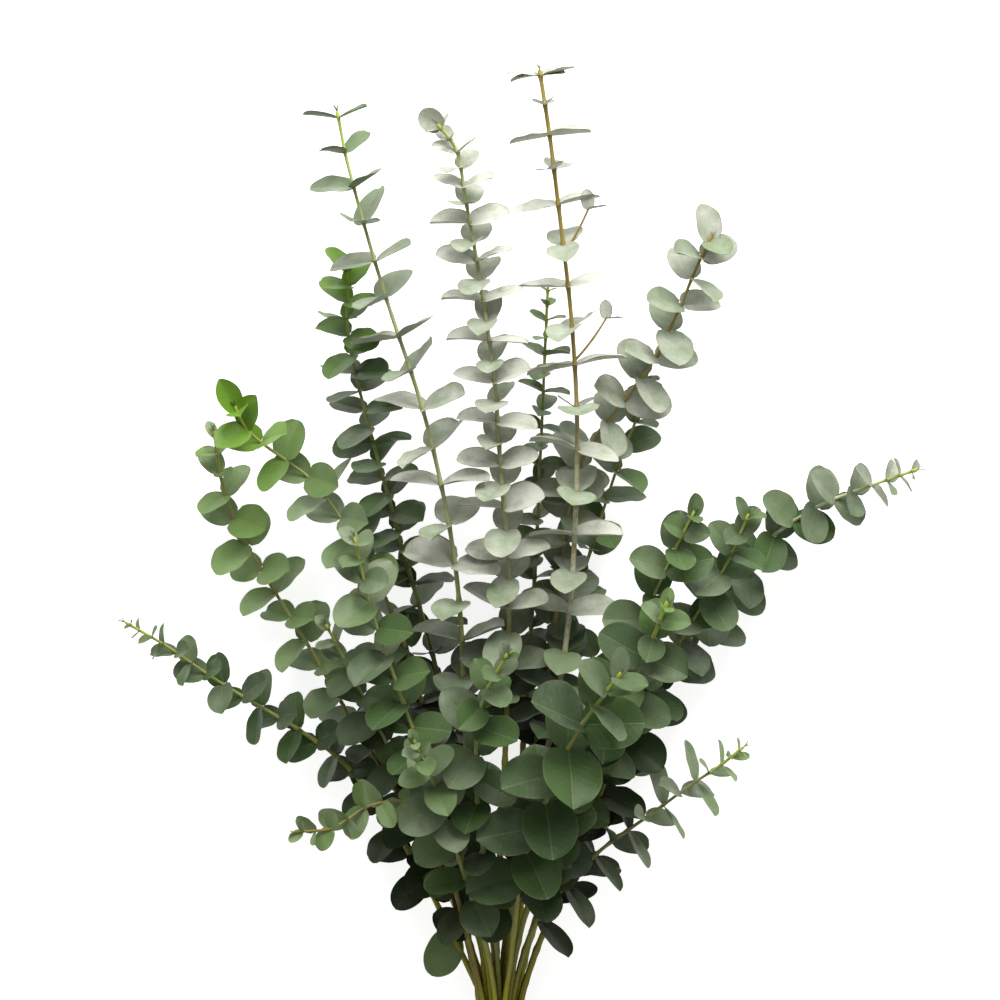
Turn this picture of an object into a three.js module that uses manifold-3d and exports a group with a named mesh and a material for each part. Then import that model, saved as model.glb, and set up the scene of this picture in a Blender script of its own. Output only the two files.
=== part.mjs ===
// A bunch of cut eucalyptus branches, gathered by an elastic band and lying on a table.
// Millimetres. +Y runs from the cut ends to the tips, +X to the right as seen from above, +Z up.
// Routes are written from the middle of the band (Y = 0) and from the table (Z = 0). At the end the
// whole bunch is moved so that its origin is the middle of its box, at the bottom.
import * as THREE from "three";
import Module from "manifold-3d";

const wasm = await Module();
wasm.setup();
const { Manifold, CrossSection } = wasm;

// ---- Driving dimensions ----

// Leaf blade: a thin lens, folded upwards along its midrib and sharp at its rim. It grows out of
// a narrow strip of the stem's flat side, without a stalk.
const BLADE_THICKNESS = 1.2;
const BLADE_FOLD = THREE.MathUtils.degToRad(12);
const BLADE_MIDDLE = 0.45;
// Share of the length, share of the half width, from the stem to the tip.
const BLADE_OUTLINE = [
  [0.22, 0.9],
  [0.68, 0.88],
];
// Room that a leaf keeps from every other leaf and stem.
const CLEARANCE = 0.4;
const LOWEST_LEAF = 0;

// Stems: square, tapered from the cut end to the tip. Half the width of a flat side.
const STEM_HALF_SIDE = 2.3;
const STEM_TIP_HALF_SIDE = 0.6;
const STEM_TAPER = 0.75;
const RING_SPACING = 36;
const BUD_LENGTH = 2.5;

// Waist of the bunch: rows of stems held by the band.
const WAIST_PITCH = 5.9;
const WAIST_ROW_RISE = 5.2;
const WAIST_LOWEST = 12;
const WAIST_STRAIGHT = 9;
const CUT_END = -90;
const CUT_SPREAD = 1.45;
const CUT_LOWEST = 2.3;

// Elastic band around the waist.
const BAND_WIDTH = 8;
const BAND_THICKNESS = 1.6;
const BAND_CLEARANCE = 0.5;

// Shares by which a leaf may be turned or shrunk to clear its neighbours, best first:
// pitch, azimuth and roll in degrees, then size.
const TRIES = [
  [0, 0, 0, 1],
  [-9, 0, 0, 1],
  [9, 0, 0, 1],
  [0, 14, 0, 1],
  [0, -14, 0, 1],
  [-8, 0, 16, 1],
  [-8, 0, -16, 1],
  [-18, 0, 0, 1],
  [16, 0, 0, 1],
  [-9, 22, 10, 1],
  [-9, -22, -10, 1],
  [9, 20, -10, 0.95],
  [9, -20, 10, 0.95],
  [-24, 12, 0, 0.92],
  [-24, -12, 0, 0.92],
  [0, 32, 0, 0.92],
  [0, -32, 0, 0.92],
  [-14, 0, 26, 0.88],
  [-14, 0, -26, 0.88],
  [-30, 24, 0, 0.85],
  [-30, -24, 0, 0.85],
  [4, 10, 0, 0.78],
  [-12, -10, 0, 0.78],
  [-20, 30, 18, 0.74],
  [-20, -30, -18, 0.74],
  [0, 0, 0, 0.66],
  [-26, 0, 0, 0.64],
];

// ---- Branches ----
// seat: row and place in the waist. route: points of the stem above the waist, the last is the tip.
// gap and leaf: spacing of the pairs and leaf length, at the tip, in the middle and at the bottom.
// grown: number of pairs until the leaves are full-sized. slim: width over length, tip and middle.
// turn: azimuth of the first pair. pitch: angle between leaf and stem, at the tip and below.
// lift: how far the blades turn their upper faces from the tip of the stem towards the sky.
// bare: height above the band at which the leaves begin.
const BRANCHES = [
  {
    name: "front_right_big_leaved_branch",
    seat: [4, 0.5],
    route: [[9, 60, 55], [15, 119, 92], [31, 168, 120], [49, 213, 142], [66, 240, 158], [80, 260, 174]],
    gap: [13, 22, 23], leaf: [22, 45, 37], grown: 3, slim: [0.8, 0.92],
    turn: 30, pitch: [50, 84], lift: [20, 30], bare: 112, colour: 0x4f7a5c,
  },
  {
    name: "front_centre_branch",
    seat: [3, 0],
    route: [[-3, 60, 46], [-11, 126, 86], [-17, 190, 118], [-12, 240, 142], [4, 272, 162]],
    gap: [12, 20, 22], leaf: [14, 34, 33], grown: 4, slim: [0.8, 0.92],
    turn: 65, pitch: [48, 84], lift: [20, 30], bare: 96, colour: 0x6f9a68,
  },
  {
    name: "front_left_branch",
    seat: [4, -0.5],
    route: [[-10, 60, 54], [-30, 130, 94], [-46, 184, 130], [-58, 214, 158]],
    gap: [8, 18, 21], leaf: [10, 32, 32], grown: 5, slim: [0.75, 0.9],
    turn: 10, pitch: [45, 84], lift: [20, 25], bare: 92, colour: 0x8fae7c,
  },
  {
    name: "centre_tallest_branch",
    seat: [2, 0.5],
    route: [
      [10, 80, 35], [30, 180, 58], [47, 280, 78], [53, 364, 88], [54, 434, 94],
      [50, 504, 98], [42, 574, 100], [34, 637, 102], [28, 675, 104],
    ],
    gap: [19, 28, 30], leaf: [22, 33, 34], grown: 4, slim: [0.6, 0.85],
    turn: 84, pitch: [80, 90], lift: [8, 16], bare: 215, colour: 0xa9bda2,
  },
  {
    name: "centre_left_tall_branch",
    seat: [2, -0.5],
    route: [
      [-2, 80, 36], [3, 180, 62], [6, 280, 82], [6, 336, 88], [1, 392, 93],
      [-4, 462, 96], [-14, 532, 98], [-24, 588, 100], [-31, 624, 102], [-42, 638, 104],
    ],
    gap: [9, 14, 23], leaf: [12, 28, 34], grown: 5, slim: [0.8, 0.84],
    turn: 78, pitch: [62, 82], lift: [20, 28], bare: 210, colour: 0x8fa68c,
  },
  {
    name: "left_tallest_branch",
    seat: [2, -1.5],
    route: [
      [-15, 80, 36], [-23, 180, 60], [-27, 280, 78], [-32, 336, 86], [-42, 392, 92],
      [-56, 448, 96], [-77, 511, 98], [-94, 567, 100], [-108, 620, 102], [-113, 646, 104],
    ],
    gap: [24, 27, 28], leaf: [25, 35, 38], grown: 3, slim: [0.5, 0.84],
    turn: 62, pitch: [55, 76], lift: [12, 22], bare: 215, colour: 0x7f9676,
  },
  {
    name: "left_bright_tipped_branch",
    seat: [0, -0.5],
    route: [
      [-8, 90, 18], [-28, 180, 30], [-52, 280, 42], [-70, 343, 50], [-81, 385, 55],
      [-92, 425, 60], [-108, 497, 68], [-107, 542, 74],
    ],
    gap: [10, 13, 22], leaf: [22, 29, 36], grown: 3, slim: [0.86, 0.88],
    turn: 52, pitch: [58, 84], lift: [30, 24], bare: 190, colour: 0x4d8a3c,
  },
  {
    name: "left_pointed_tip_branch",
    seat: [1, -1],
    route: [
      [-22, 90, 30], [-46, 190, 44], [-70, 280, 54], [-104, 350, 60], [-136, 394, 66],
      [-166, 416, 72], [-182, 432, 78], [-186, 442, 82],
    ],
    gap: [13, 20, 23], leaf: [26, 30, 34], grown: 2, slim: [0.72, 0.88],
    turn: 20, pitch: [42, 82], lift: [50, 34], bare: 170, colour: 0x5f9440,
  },
  {
    name: "left_pale_tipped_branch",
    seat: [0, -1.5],
    route: [
      [-32, 80, 16], [-62, 145, 22], [-105, 214, 25], [-140, 273, 22], [-166, 315, 23],
      [-186, 350, 29], [-200, 388, 38], [-205, 425, 48],
    ],
    gap: [12, 21, 24], leaf: [13, 31, 33], grown: 4, slim: [0.72, 0.88],
    turn: 34, pitch: [56, 82], lift: [20, 36], bare: 120, colour: 0x86a860,
  },
  {
    name: "right_pale_branch",
    seat: [1, 0],
    route: [
      [9, 100, 27], [26, 200, 42], [40, 300, 52], [48, 366, 56], [62, 414, 60], [84, 443, 64],
      [108, 476, 68], [126, 511, 72], [138, 540, 76], [148, 562, 80],
    ],
    gap: [12, 19, 23], leaf: [26, 31, 32], grown: 2, slim: [0.82, 0.88],
    turn: 40, pitch: [56, 80], lift: [45, 38], bare: 200, colour: 0xa5b99d,
  },
  {
    name: "centre_thin_branch",
    seat: [0, 0.5],
    route: [
      [6, 90, 18], [15, 180, 30], [22, 280, 42], [26, 343, 50], [28, 392, 55],
      [30, 434, 59], [32, 483, 62], [34, 528, 66],
    ],
    gap: [10, 13, 22], leaf: [8, 19, 24], grown: 4, slim: [0.7, 0.85],
    turn: 70, pitch: [60, 84], lift: [15, 22], bare: 230, colour: 0x9ab08a,
  },
  {
    name: "right_thin_branch",
    seat: [1, 1],
    route: [
      [18, 100, 22], [38, 200, 29], [56, 308, 33], [66, 343, 34], [77, 378, 36],
      [88, 411, 38], [98, 436, 41], [105, 467, 46],
    ],
    gap: [15, 20, 24], leaf: [13, 27, 28], grown: 3, slim: [0.75, 0.88],
    turn: 45, pitch: [58, 80], lift: [30, 36], bare: 190, colour: 0x4c7654,
  },
  {
    name: "far_right_long_branch",
    seat: [0, 1.5],
    route: [
      [28, 75, 17], [56, 140, 23], [84, 196, 26], [112, 238, 25], [140, 280, 23],
      [165, 315, 23], [196, 350, 27], [231, 374, 36], [260, 386, 44], [296, 399, 54],
    ],
    gap: [9, 18, 22], leaf: [11, 33, 32], grown: 6, slim: [0.7, 0.9],
    turn: 28, pitch: [60, 84], lift: [20, 48], bare: 110, colour: 0x58805e,
  },
  {
    name: "left_middle_branch",
    seat: [2, -2.5],
    route: [[-24, 60, 32], [-44, 118, 46], [-72, 185, 58], [-98, 240, 67], [-122, 288, 78]],
    gap: [11, 19, 23], leaf: [13, 30, 32], grown: 4, slim: [0.75, 0.9],
    turn: 25, pitch: [52, 80], lift: [25, 40], bare: 100, colour: 0x3f6648,
  },
  {
    name: "left_centre_branch",
    seat: [3, -1],
    route: [
      [-12, 60, 45], [-25, 118, 72], [-44, 168, 88], [-68, 238, 102], [-90, 304, 112],
      [-100, 350, 124],
    ],
    gap: [12, 19, 23], leaf: [15, 32, 33], grown: 3, slim: [0.8, 0.9],
    turn: 50, pitch: [50, 80], lift: [25, 40], bare: 120, colour: 0x557d59,
  },
  {
    name: "right_centre_branch",
    seat: [3, 1],
    route: [[13, 60, 44], [27, 110, 66], [48, 168, 88], [78, 224, 104], [103, 276, 118], [114, 306, 134]],
    gap: [12, 20, 23], leaf: [15, 33, 34], grown: 3, slim: [0.8, 0.92],
    turn: 5, pitch: [50, 80], lift: [25, 38], bare: 115, colour: 0x4b7858,
  },
  {
    name: "right_upper_branch",
    seat: [2, 2.5],
    route: [
      [29, 60, 34], [49, 104, 42], [72, 168, 52], [104, 238, 60], [138, 294, 68],
      [162, 336, 76], [174, 366, 86],
    ],
    gap: [12, 20, 23], leaf: [16, 33, 33], grown: 3, slim: [0.82, 0.92],
    turn: 60, pitch: [52, 80], lift: [25, 45], bare: 140, colour: 0x466f50,
  },
  {
    name: "right_middle_branch",
    seat: [1, 2],
    route: [
      [30, 90, 32], [58, 165, 56], [88, 238, 76], [104, 300, 90], [118, 334, 98], [134, 368, 110],
    ],
    gap: [13, 19, 23], leaf: [16, 31, 33], grown: 3, slim: [0.8, 0.9],
    turn: 15, pitch: [50, 80], lift: [40, 45], bare: 110, colour: 0x64885f,
  },
  {
    name: "low_right_branch",
    seat: [2, 1.5],
    route: [
      [24, 70, 42], [46, 101, 52], [72, 128, 58], [106, 153, 62], [140, 178, 64],
      [155, 188, 66], [171, 201, 69],
    ],
    gap: [7.5, 15, 17], leaf: [7, 24, 25], grown: 5, slim: [0.45, 0.5],
    turn: 58, pitch: [56, 76], lift: [25, 35], bare: 76, colour: 0x5f8c50,
  },
  {
    name: "far_left_low_branch",
    seat: [1, -2],
    route: [
      [-35, 63, 26], [-70, 130, 32], [-112, 187, 34], [-147, 213, 35], [-182, 234, 37],
      [-210, 252, 41], [-238, 272, 46], [-266, 289, 52],
    ],
    gap: [8, 16, 21], leaf: [8, 27, 31], grown: 7, slim: [0.5, 0.85],
    turn: 40, pitch: [56, 82], lift: [15, 40], bare: 105, colour: 0x47704f,
  },
  {
    name: "low_left_side_branch",
    seat: [3, -2],
    route: [
      [-22, 60, 43], [-38, 118, 68], [-60, 163, 88], [-90, 165, 102], [-116, 150, 109], [-139, 148, 114],
    ],
    gap: [10, 14, 22], leaf: [11, 21, 30], grown: 3, slim: [0.7, 0.82],
    turn: 48, pitch: [54, 78], lift: [45, 40], bare: 52, colour: 0x7da35c,
  },
];

// ---- Helpers ----

const vector = (x, y, z) => new THREE.Vector3(x, y, z);
const radians = THREE.MathUtils.degToRad;
const mix = THREE.MathUtils.lerp;

// A repeatable stream of numbers from -1 to 1, so that no two leaves sit quite alike.
function stream(seed) {
  let state = seed * 7919 + 104729;
  return () => {
    state = (state * 48271) % 2147483647;
    return (2 * state) / 2147483647 - 1;
  };
}

function solidFrom(points, triangles) {
  const made = new Manifold(
    new wasm.Mesh({
      numProp: 3,
      vertProperties: new Float32Array(points.flatMap((p) => [p.x, p.y, p.z])),
      triVerts: new Uint32Array(triangles.flat()),
    }),
  );
  return made;
}

// ---- Stem ----

function waistPoint([row, place]) {
  return vector(place * WAIST_PITCH, 0, WAIST_LOWEST + row * WAIST_ROW_RISE);
}

// The centre line of a stem, from the cut end to the tip.
function stemLine(branch, index) {
  const waist = waistPoint(branch.seat);
  const cut = vector(
    waist.x * CUT_SPREAD,
    CUT_END + 5 * Math.sin(index * 2.3),
    CUT_LOWEST + (waist.z - WAIST_LOWEST) * CUT_SPREAD,
  );
  const curve = new THREE.CatmullRomCurve3([
    cut,
    waist.clone().setY(-WAIST_STRAIGHT),
    waist.clone().setY(WAIST_STRAIGHT),
    ...branch.route.map((p) => vector(...p)),
  ]);
  // Heights at which the stem enters and leaves the straight piece inside the band.
  const steps = branch.route.length + 2;
  curve.arcLengthDivisions = 100 * steps;
  const heights = curve.getLengths();
  return { curve, length: curve.getLength(), held: [heights[100], heights[200]] };
}

function stemHalfSide(stem, along) {
  const share = Math.pow(along / stem.length, 1 / STEM_TAPER);
  return mix(STEM_HALF_SIDE, STEM_TIP_HALF_SIDE, share);
}

// Middle of the stem, its direction of growth, and the two directions across it that azimuths
// are measured in: 0 is upwards, 90 is sideways.
function stemAt(stem, along) {
  const share = THREE.MathUtils.clamp(along / stem.length, 0, 1);
  const growth = stem.curve.getTangentAt(share);
  const upward = vector(0, 0, 1);
  upward.addScaledVector(growth, -growth.z).normalize();
  const sideways = growth.clone().cross(upward);
  return { centre: stem.curve.getPointAt(share), growth, upward, sideways };
}

function across({ upward, sideways }, degrees) {
  const angle = radians(degrees);
  return upward
    .clone()
    .multiplyScalar(Math.cos(angle))
    .addScaledVector(sideways, Math.sin(angle));
}

// Four corners of the stem at one height; flat side k faces the azimuth turn + 90 k.
function stemRing(stem, along, turn, shift = 0, grow = 0) {
  const place = stemAt(stem, along);
  const corner = Math.SQRT2 * stemHalfSide(stem, along) + grow;
  return [0, 1, 2, 3].map((k) =>
    place.centre
      .clone()
      .addScaledVector(place.growth, shift)
      .addScaledVector(across(place, turn + 90 * k - 45), corner),
  );
}

// ---- Leaf ----

// Rim of a blade, and the middles of its two faces. root is where it leaves the stem.
function bladePoints({ root, direction, face, length, width }, grow = 0) {
  const sideways = face.clone().cross(direction);
  const at = (x, y, z) => {
    const p = root
      .clone()
      .addScaledVector(direction, x)
      .addScaledVector(sideways, y)
      .addScaledVector(face, z);
    p.z = Math.max(p.z, LOWEST_LEAF);
    return p;
  };
  const long = length + grow;
  const half = width / 2 + grow;
  const thick = BLADE_THICKNESS / 2 + grow;
  const rise = Math.tan(BLADE_FOLD);
  const right = BLADE_OUTLINE.map(([t, w]) => at(t * long, -w * half, w * half * rise));
  const left = BLADE_OUTLINE.map(([t, w]) => at(t * long, w * half, w * half * rise));
  return {
    rim: [...right, at(long, 0, 0), ...left.reverse()],
    top: at(BLADE_MIDDLE * long, 0, thick),
    bottom: at(BLADE_MIDDLE * long, 0, -thick),
  };
}

// Skin of one blade that starts at a strip of the stem. foot holds the numbers of the strip's
// corners in points: low and high on one side, low and high on the other.
function addBlade(points, triangles, pose, foot, grow = 0) {
  const { rim, top, bottom } = bladePoints(pose, grow);
  const [lowA, highA, lowB, highB] = foot;
  const first = points.length;
  const last = first + rim.length - 1;
  const edge = rim.map((_, i) => first + i);
  points.push(...rim, top, bottom);
  const upper = [highA, ...edge, highB];
  const under = [lowA, ...edge, lowB];
  upper.forEach((a, i) => {
    triangles.push([last + 1, a, upper[(i + 1) % upper.length]]);
  });
  under.forEach((a, i) => {
    triangles.push([last + 2, under[(i + 1) % under.length], a]);
  });
  triangles.push([lowA, first, highA], [lowB, highB, last]);
}

// A blade on its own, closed where it leaves the stem, for the clearance test.
function looseBlade(stem, pair, pose, grow) {
  const shift = BLADE_THICKNESS / 2 + grow;
  const low = stemRing(stem, pair.along, pair.turn, -shift, grow);
  const high = stemRing(stem, pair.along, pair.turn, shift, grow);
  const next = (pose.side + 1) % 4;
  const points = [low[pose.side], high[pose.side], low[next], high[next]];
  const triangles = [[0, 1, 2], [2, 1, 3]];
  addBlade(points, triangles, pose, [0, 1, 2, 3], grow);
  return solidFrom(points, triangles);
}

// How the leaves stand along one stem, from the tip down: pairs, each turned a quarter.
function leafPlan(branch, stem, index) {
  const vary = stream(index + 3);
  const plan = [];
  const waistAlong = -CUT_END;
  const reach = stem.length - waistAlong - branch.bare;
  let fromTip = 1.5;
  for (let pair = 0; fromTip < reach; pair++) {
    const grown = Math.min(pair / branch.grown, 1);
    const low = fromTip / reach;
    const lower = THREE.MathUtils.smoothstep(low, 0.45, 1);
    const length = mix(mix(branch.leaf[0], branch.leaf[1], grown), branch.leaf[2], lower);
    const slim = mix(branch.slim[0], branch.slim[1], grown);
    const pitch = mix(branch.pitch[0], branch.pitch[1], Math.min(pair / (branch.grown + 1), 1));
    const along = stem.length - fromTip;
    const turn = branch.turn + 9 * vary();
    const sides = [pair % 2, (pair % 2) + 2];
    plan.push({
      along,
      turn,
      leaves: sides.map((side) => ({
        side,
        azimuth: turn + 90 * side + 6 * vary(),
        pitch: pitch + 7 * vary(),
        lift: mix(branch.lift[0], branch.lift[1], grown) + 7 * vary(),
        roll: 8 * vary(),
        length: length * (1 + 0.07 * vary()),
        slim: slim * (1 + 0.05 * vary()),
      })),
    });
    const gap = mix(mix(branch.gap[0], branch.gap[1], grown), branch.gap[2], lower);
    fromTip += gap * (1 + 0.08 * vary());
  }
  return plan;
}

// Turn one planned leaf into a placed blade, changed by one of the tries.
function bladePose(stem, pair, leaf, [pitchStep, azimuthStep, rollStep, size]) {
  const place = stemAt(stem, pair.along);
  const { growth } = place;
  const outward = across(place, leaf.azimuth + azimuthStep);
  const pitch = radians(leaf.pitch + pitchStep);
  const direction = growth
    .clone()
    .multiplyScalar(Math.cos(pitch))
    .addScaledVector(outward, Math.sin(pitch));
  const face = growth
    .clone()
    .multiplyScalar(Math.sin(pitch))
    .addScaledVector(outward, -Math.cos(pitch));
  const lift = radians(leaf.lift);
  direction.applyAxisAngle(place.sideways, lift);
  face.applyAxisAngle(place.sideways, lift);
  face.applyAxisAngle(direction, radians(leaf.roll + rollStep));
  const root = place.centre
    .clone()
    .addScaledVector(across(place, pair.turn + 90 * leaf.side), stemHalfSide(stem, pair.along));
  const length = leaf.length * size;
  return { root, side: leaf.side, direction, face, length, width: length * leaf.slim };
}

// ---- Clearance between leaves and stems ----

const placed = [];

function keepClearOf(solid, owner) {
  const { min, max } = solid.boundingBox();
  placed.push({ solid, owner, min, max });
}

function isFree(solid, owners) {
  const { min, max } = solid.boundingBox();
  for (const other of placed) {
    if (owners.includes(other.owner)) continue;
    const apart = [0, 1, 2].some((k) => min[k] > other.max[k] || max[k] < other.min[k]);
    if (apart) continue;
    const shared = solid.intersect(other.solid);
    const touches = !shared.isEmpty();
    shared.delete();
    if (touches) return false;
  }
  return true;
}

// ---- Whole branch ----

// Heights at which the bare lower stem gets a ring: three below the band, then evenly.
function bareHeights(stem, until) {
  const [enters, leaves] = stem.held;
  const above = until - leaves;
  const steps = Math.max(1, Math.round(above / RING_SPACING));
  const evenly = Array.from({ length: steps }, (_, i) => leaves + (i * above) / steps);
  return [0, enters / 2, enters, ...evenly];
}

// Flat sides of the stem from one ring to the next; the sides in open are left out.
function joinRings(triangles, low, high, open = []) {
  for (let k = 0; k < 4; k++) {
    if (open.includes(k)) continue;
    const next = (k + 1) % 4;
    triangles.push([low + k, low + next, high + k], [low + next, high + next, high + k]);
  }
}

// Stem and leaves as one closed skin: rings up the bare stem, then two rings for each pair of
// leaves with the blades growing out between them, then the bud.
function branchSolid(stem, pairs) {
  const lowest = pairs[pairs.length - 1];
  const points = [];
  const triangles = [[0, 2, 1], [0, 3, 2]];
  let last = -1;
  const addRing = (along, turn, shift, open) => {
    const start = points.length;
    points.push(...stemRing(stem, along, turn, shift));
    if (last >= 0) joinRings(triangles, last, start, open);
    last = start;
    return start;
  };
  const heights = bareHeights(stem, lowest.along);
  for (const along of heights) {
    const twist = THREE.MathUtils.smoothstep(along, 110, lowest.along);
    addRing(along, twist * lowest.turn);
  }
  for (const pair of [...pairs].reverse()) {
    const low = addRing(pair.along, pair.turn, -BLADE_THICKNESS / 2);
    const open = pair.blades.map((pose) => pose.side);
    const high = addRing(pair.along, pair.turn, BLADE_THICKNESS / 2, open);
    for (const pose of pair.blades) {
      const next = (pose.side + 1) % 4;
      const foot = [low + pose.side, high + pose.side, low + next, high + next];
      addBlade(points, triangles, pose, foot);
    }
  }
  const { centre, growth } = stemAt(stem, stem.length);
  points.push(centre.clone().addScaledVector(growth, BUD_LENGTH));
  for (let k = 0; k < 4; k++) {
    triangles.push([last + k, last + ((k + 1) % 4), points.length - 1]);
  }
  return solidFrom(points, triangles);
}

function meshOf(name, colour, solid) {
  const mesh = solid.getMesh();
  const geometry = new THREE.BufferGeometry();
  geometry.setAttribute("position", new THREE.BufferAttribute(mesh.vertProperties, 3));
  geometry.setIndex(new THREE.BufferAttribute(mesh.triVerts, 1));
  geometry.computeVertexNormals();
  const material = new THREE.MeshStandardMaterial({ color: colour, flatShading: true });
  const made = new THREE.Mesh(geometry, material);
  made.name = name;
  return made;
}

// The band follows the outline of the stems in the waist, a little clear of them.
function bandSolid() {
  const around = (radius) =>
    CrossSection.hull(
      BRANCHES.map(({ seat }) => {
        const centre = waistPoint(seat);
        return CrossSection.circle(radius, 12).translate([centre.x, -centre.z]);
      }),
    );
  const inner = around(Math.SQRT2 * STEM_HALF_SIDE + BAND_CLEARANCE);
  const outer = around(Math.SQRT2 * STEM_HALF_SIDE + BAND_CLEARANCE + BAND_THICKNESS);
  return outer.subtract(inner).extrude(BAND_WIDTH, 0, 0, [1, 1], true).rotate([-90, 0, 0]);
}

// ---- The bunch ----

const stems = BRANCHES.map((branch, index) => stemLine(branch, index));
const plans = BRANCHES.map((branch, index) => leafPlan(branch, stems[index], index));

stems.forEach((stem, index) => {
  const bare = plans[index].map((pair) => ({ ...pair, blades: [] }));
  keepClearOf(branchSolid(stem, bare), `stem ${index}`);
});

const bunch = new THREE.Group();
bunch.name = "eucalyptus_bunch";

BRANCHES.forEach((branch, index) => {
  const stem = stems[index];
  plans[index].forEach((pair, number) => {
    const mates = [`stem ${index}`, `pair ${index} ${number}`];
    pair.blades = [];
    for (const leaf of pair.leaves) {
      for (const change of TRIES) {
        const pose = bladePose(stem, pair, leaf, change);
        const roomy = looseBlade(stem, pair, pose, CLEARANCE);
        const free = isFree(roomy, mates);
        roomy.delete();
        if (!free) continue;
        keepClearOf(looseBlade(stem, pair, pose, 0), mates[1]);
        pair.blades.push(pose);
        break;
      }
    }
  });
  bunch.add(meshOf(branch.name, branch.colour, branchSolid(stem, plans[index])));
});
bunch.add(meshOf("elastic_band", 0xb9975f, bandSolid()));

const box = new THREE.Box3().setFromObject(bunch);
const middle = box.getCenter(vector(0, 0, 0));
for (const mesh of bunch.children) {
  mesh.geometry.translate(-middle.x, -middle.y, -box.min.z);
}

export default bunch;
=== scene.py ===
"""Looks of a bunch of cut eucalyptus branches lying on a table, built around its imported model."""

import logging
import math
import random
from dataclasses import dataclass, field, replace
from enum import Enum
from typing import Iterable, Sequence

import bmesh
import bpy
import numpy as np
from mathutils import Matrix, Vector
from mathutils.bvhtree import BVHTree


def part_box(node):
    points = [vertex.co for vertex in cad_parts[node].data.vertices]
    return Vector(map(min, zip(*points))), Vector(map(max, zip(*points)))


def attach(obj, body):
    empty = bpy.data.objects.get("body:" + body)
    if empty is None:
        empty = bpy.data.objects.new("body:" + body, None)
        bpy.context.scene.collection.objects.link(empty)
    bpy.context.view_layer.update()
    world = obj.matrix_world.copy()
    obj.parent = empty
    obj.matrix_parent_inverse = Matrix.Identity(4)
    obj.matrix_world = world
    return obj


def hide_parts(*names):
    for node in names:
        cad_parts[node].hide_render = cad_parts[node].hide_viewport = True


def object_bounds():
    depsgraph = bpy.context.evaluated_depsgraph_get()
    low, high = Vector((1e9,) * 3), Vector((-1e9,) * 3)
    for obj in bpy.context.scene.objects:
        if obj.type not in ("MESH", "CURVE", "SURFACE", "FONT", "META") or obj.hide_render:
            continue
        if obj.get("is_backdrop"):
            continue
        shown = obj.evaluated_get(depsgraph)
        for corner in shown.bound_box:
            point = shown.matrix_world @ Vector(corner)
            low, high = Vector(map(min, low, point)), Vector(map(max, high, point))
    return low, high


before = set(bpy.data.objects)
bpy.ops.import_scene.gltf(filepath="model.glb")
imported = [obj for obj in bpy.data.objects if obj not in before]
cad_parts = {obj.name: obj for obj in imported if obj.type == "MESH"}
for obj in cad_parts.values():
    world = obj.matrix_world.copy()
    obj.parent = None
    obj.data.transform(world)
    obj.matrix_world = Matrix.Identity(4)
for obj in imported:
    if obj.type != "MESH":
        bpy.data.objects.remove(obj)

LOG = logging.getLogger("eucalyptus_bunch")
MM = 0.001
TINY = 1e-12
UP = np.array([0.0, 0.0, 1.0])
ANY_PHASE = (0, 6.28)
Colour = tuple[float, float, float]
Span = tuple[float, float]
Grain = tuple[float, float, float]
Part = tuple[np.ndarray, list[list[int]], dict[str, np.ndarray]]


def unit(vector: np.ndarray) -> np.ndarray:
    """Return the vector at length one."""
    return vector / max(float(np.linalg.norm(vector)), TINY)


def blend(low: float, high: float, share: float) -> float:
    """Return the value that lies the given share of the way from low to high."""
    return low + (high - low) * share


def ease(low: float, high: float, value: float) -> float:
    """Return 0 at low, 1 at high, and a smooth rise between; low may be the larger number."""
    share = min(max((value - low) / (high - low), 0.0), 1.0)
    return share * share * (3.0 - 2.0 * share)


# ---- Finishes ----


class Tone(Enum):
    """Looks that a leaf can have: how waxy, how fresh and how deep its green is."""

    DEEP = (0.02, 0.0, 0.84)
    SEA = (0.04, 0.0, 0.64)
    MID = (0.09, 0.0, 0.36)
    SAGE = (0.20, 0.12, 0.05)
    GREY = (0.42, 0.0, 0.10)
    PEARL = (0.52, 0.0, 0.08)
    SILVER = (0.85, 0.0, 0.0)
    FRESH = (0.0, 0.95, 0.15)
    LIME = (0.28, 0.48, 0.0)

    def towards(self, other: "Tone", share: float) -> np.ndarray:
        """Return wax, freshness and depth on the way from this tone to another."""
        return np.array(self.value) * (1.0 - share) + np.array(other.value) * share


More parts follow.
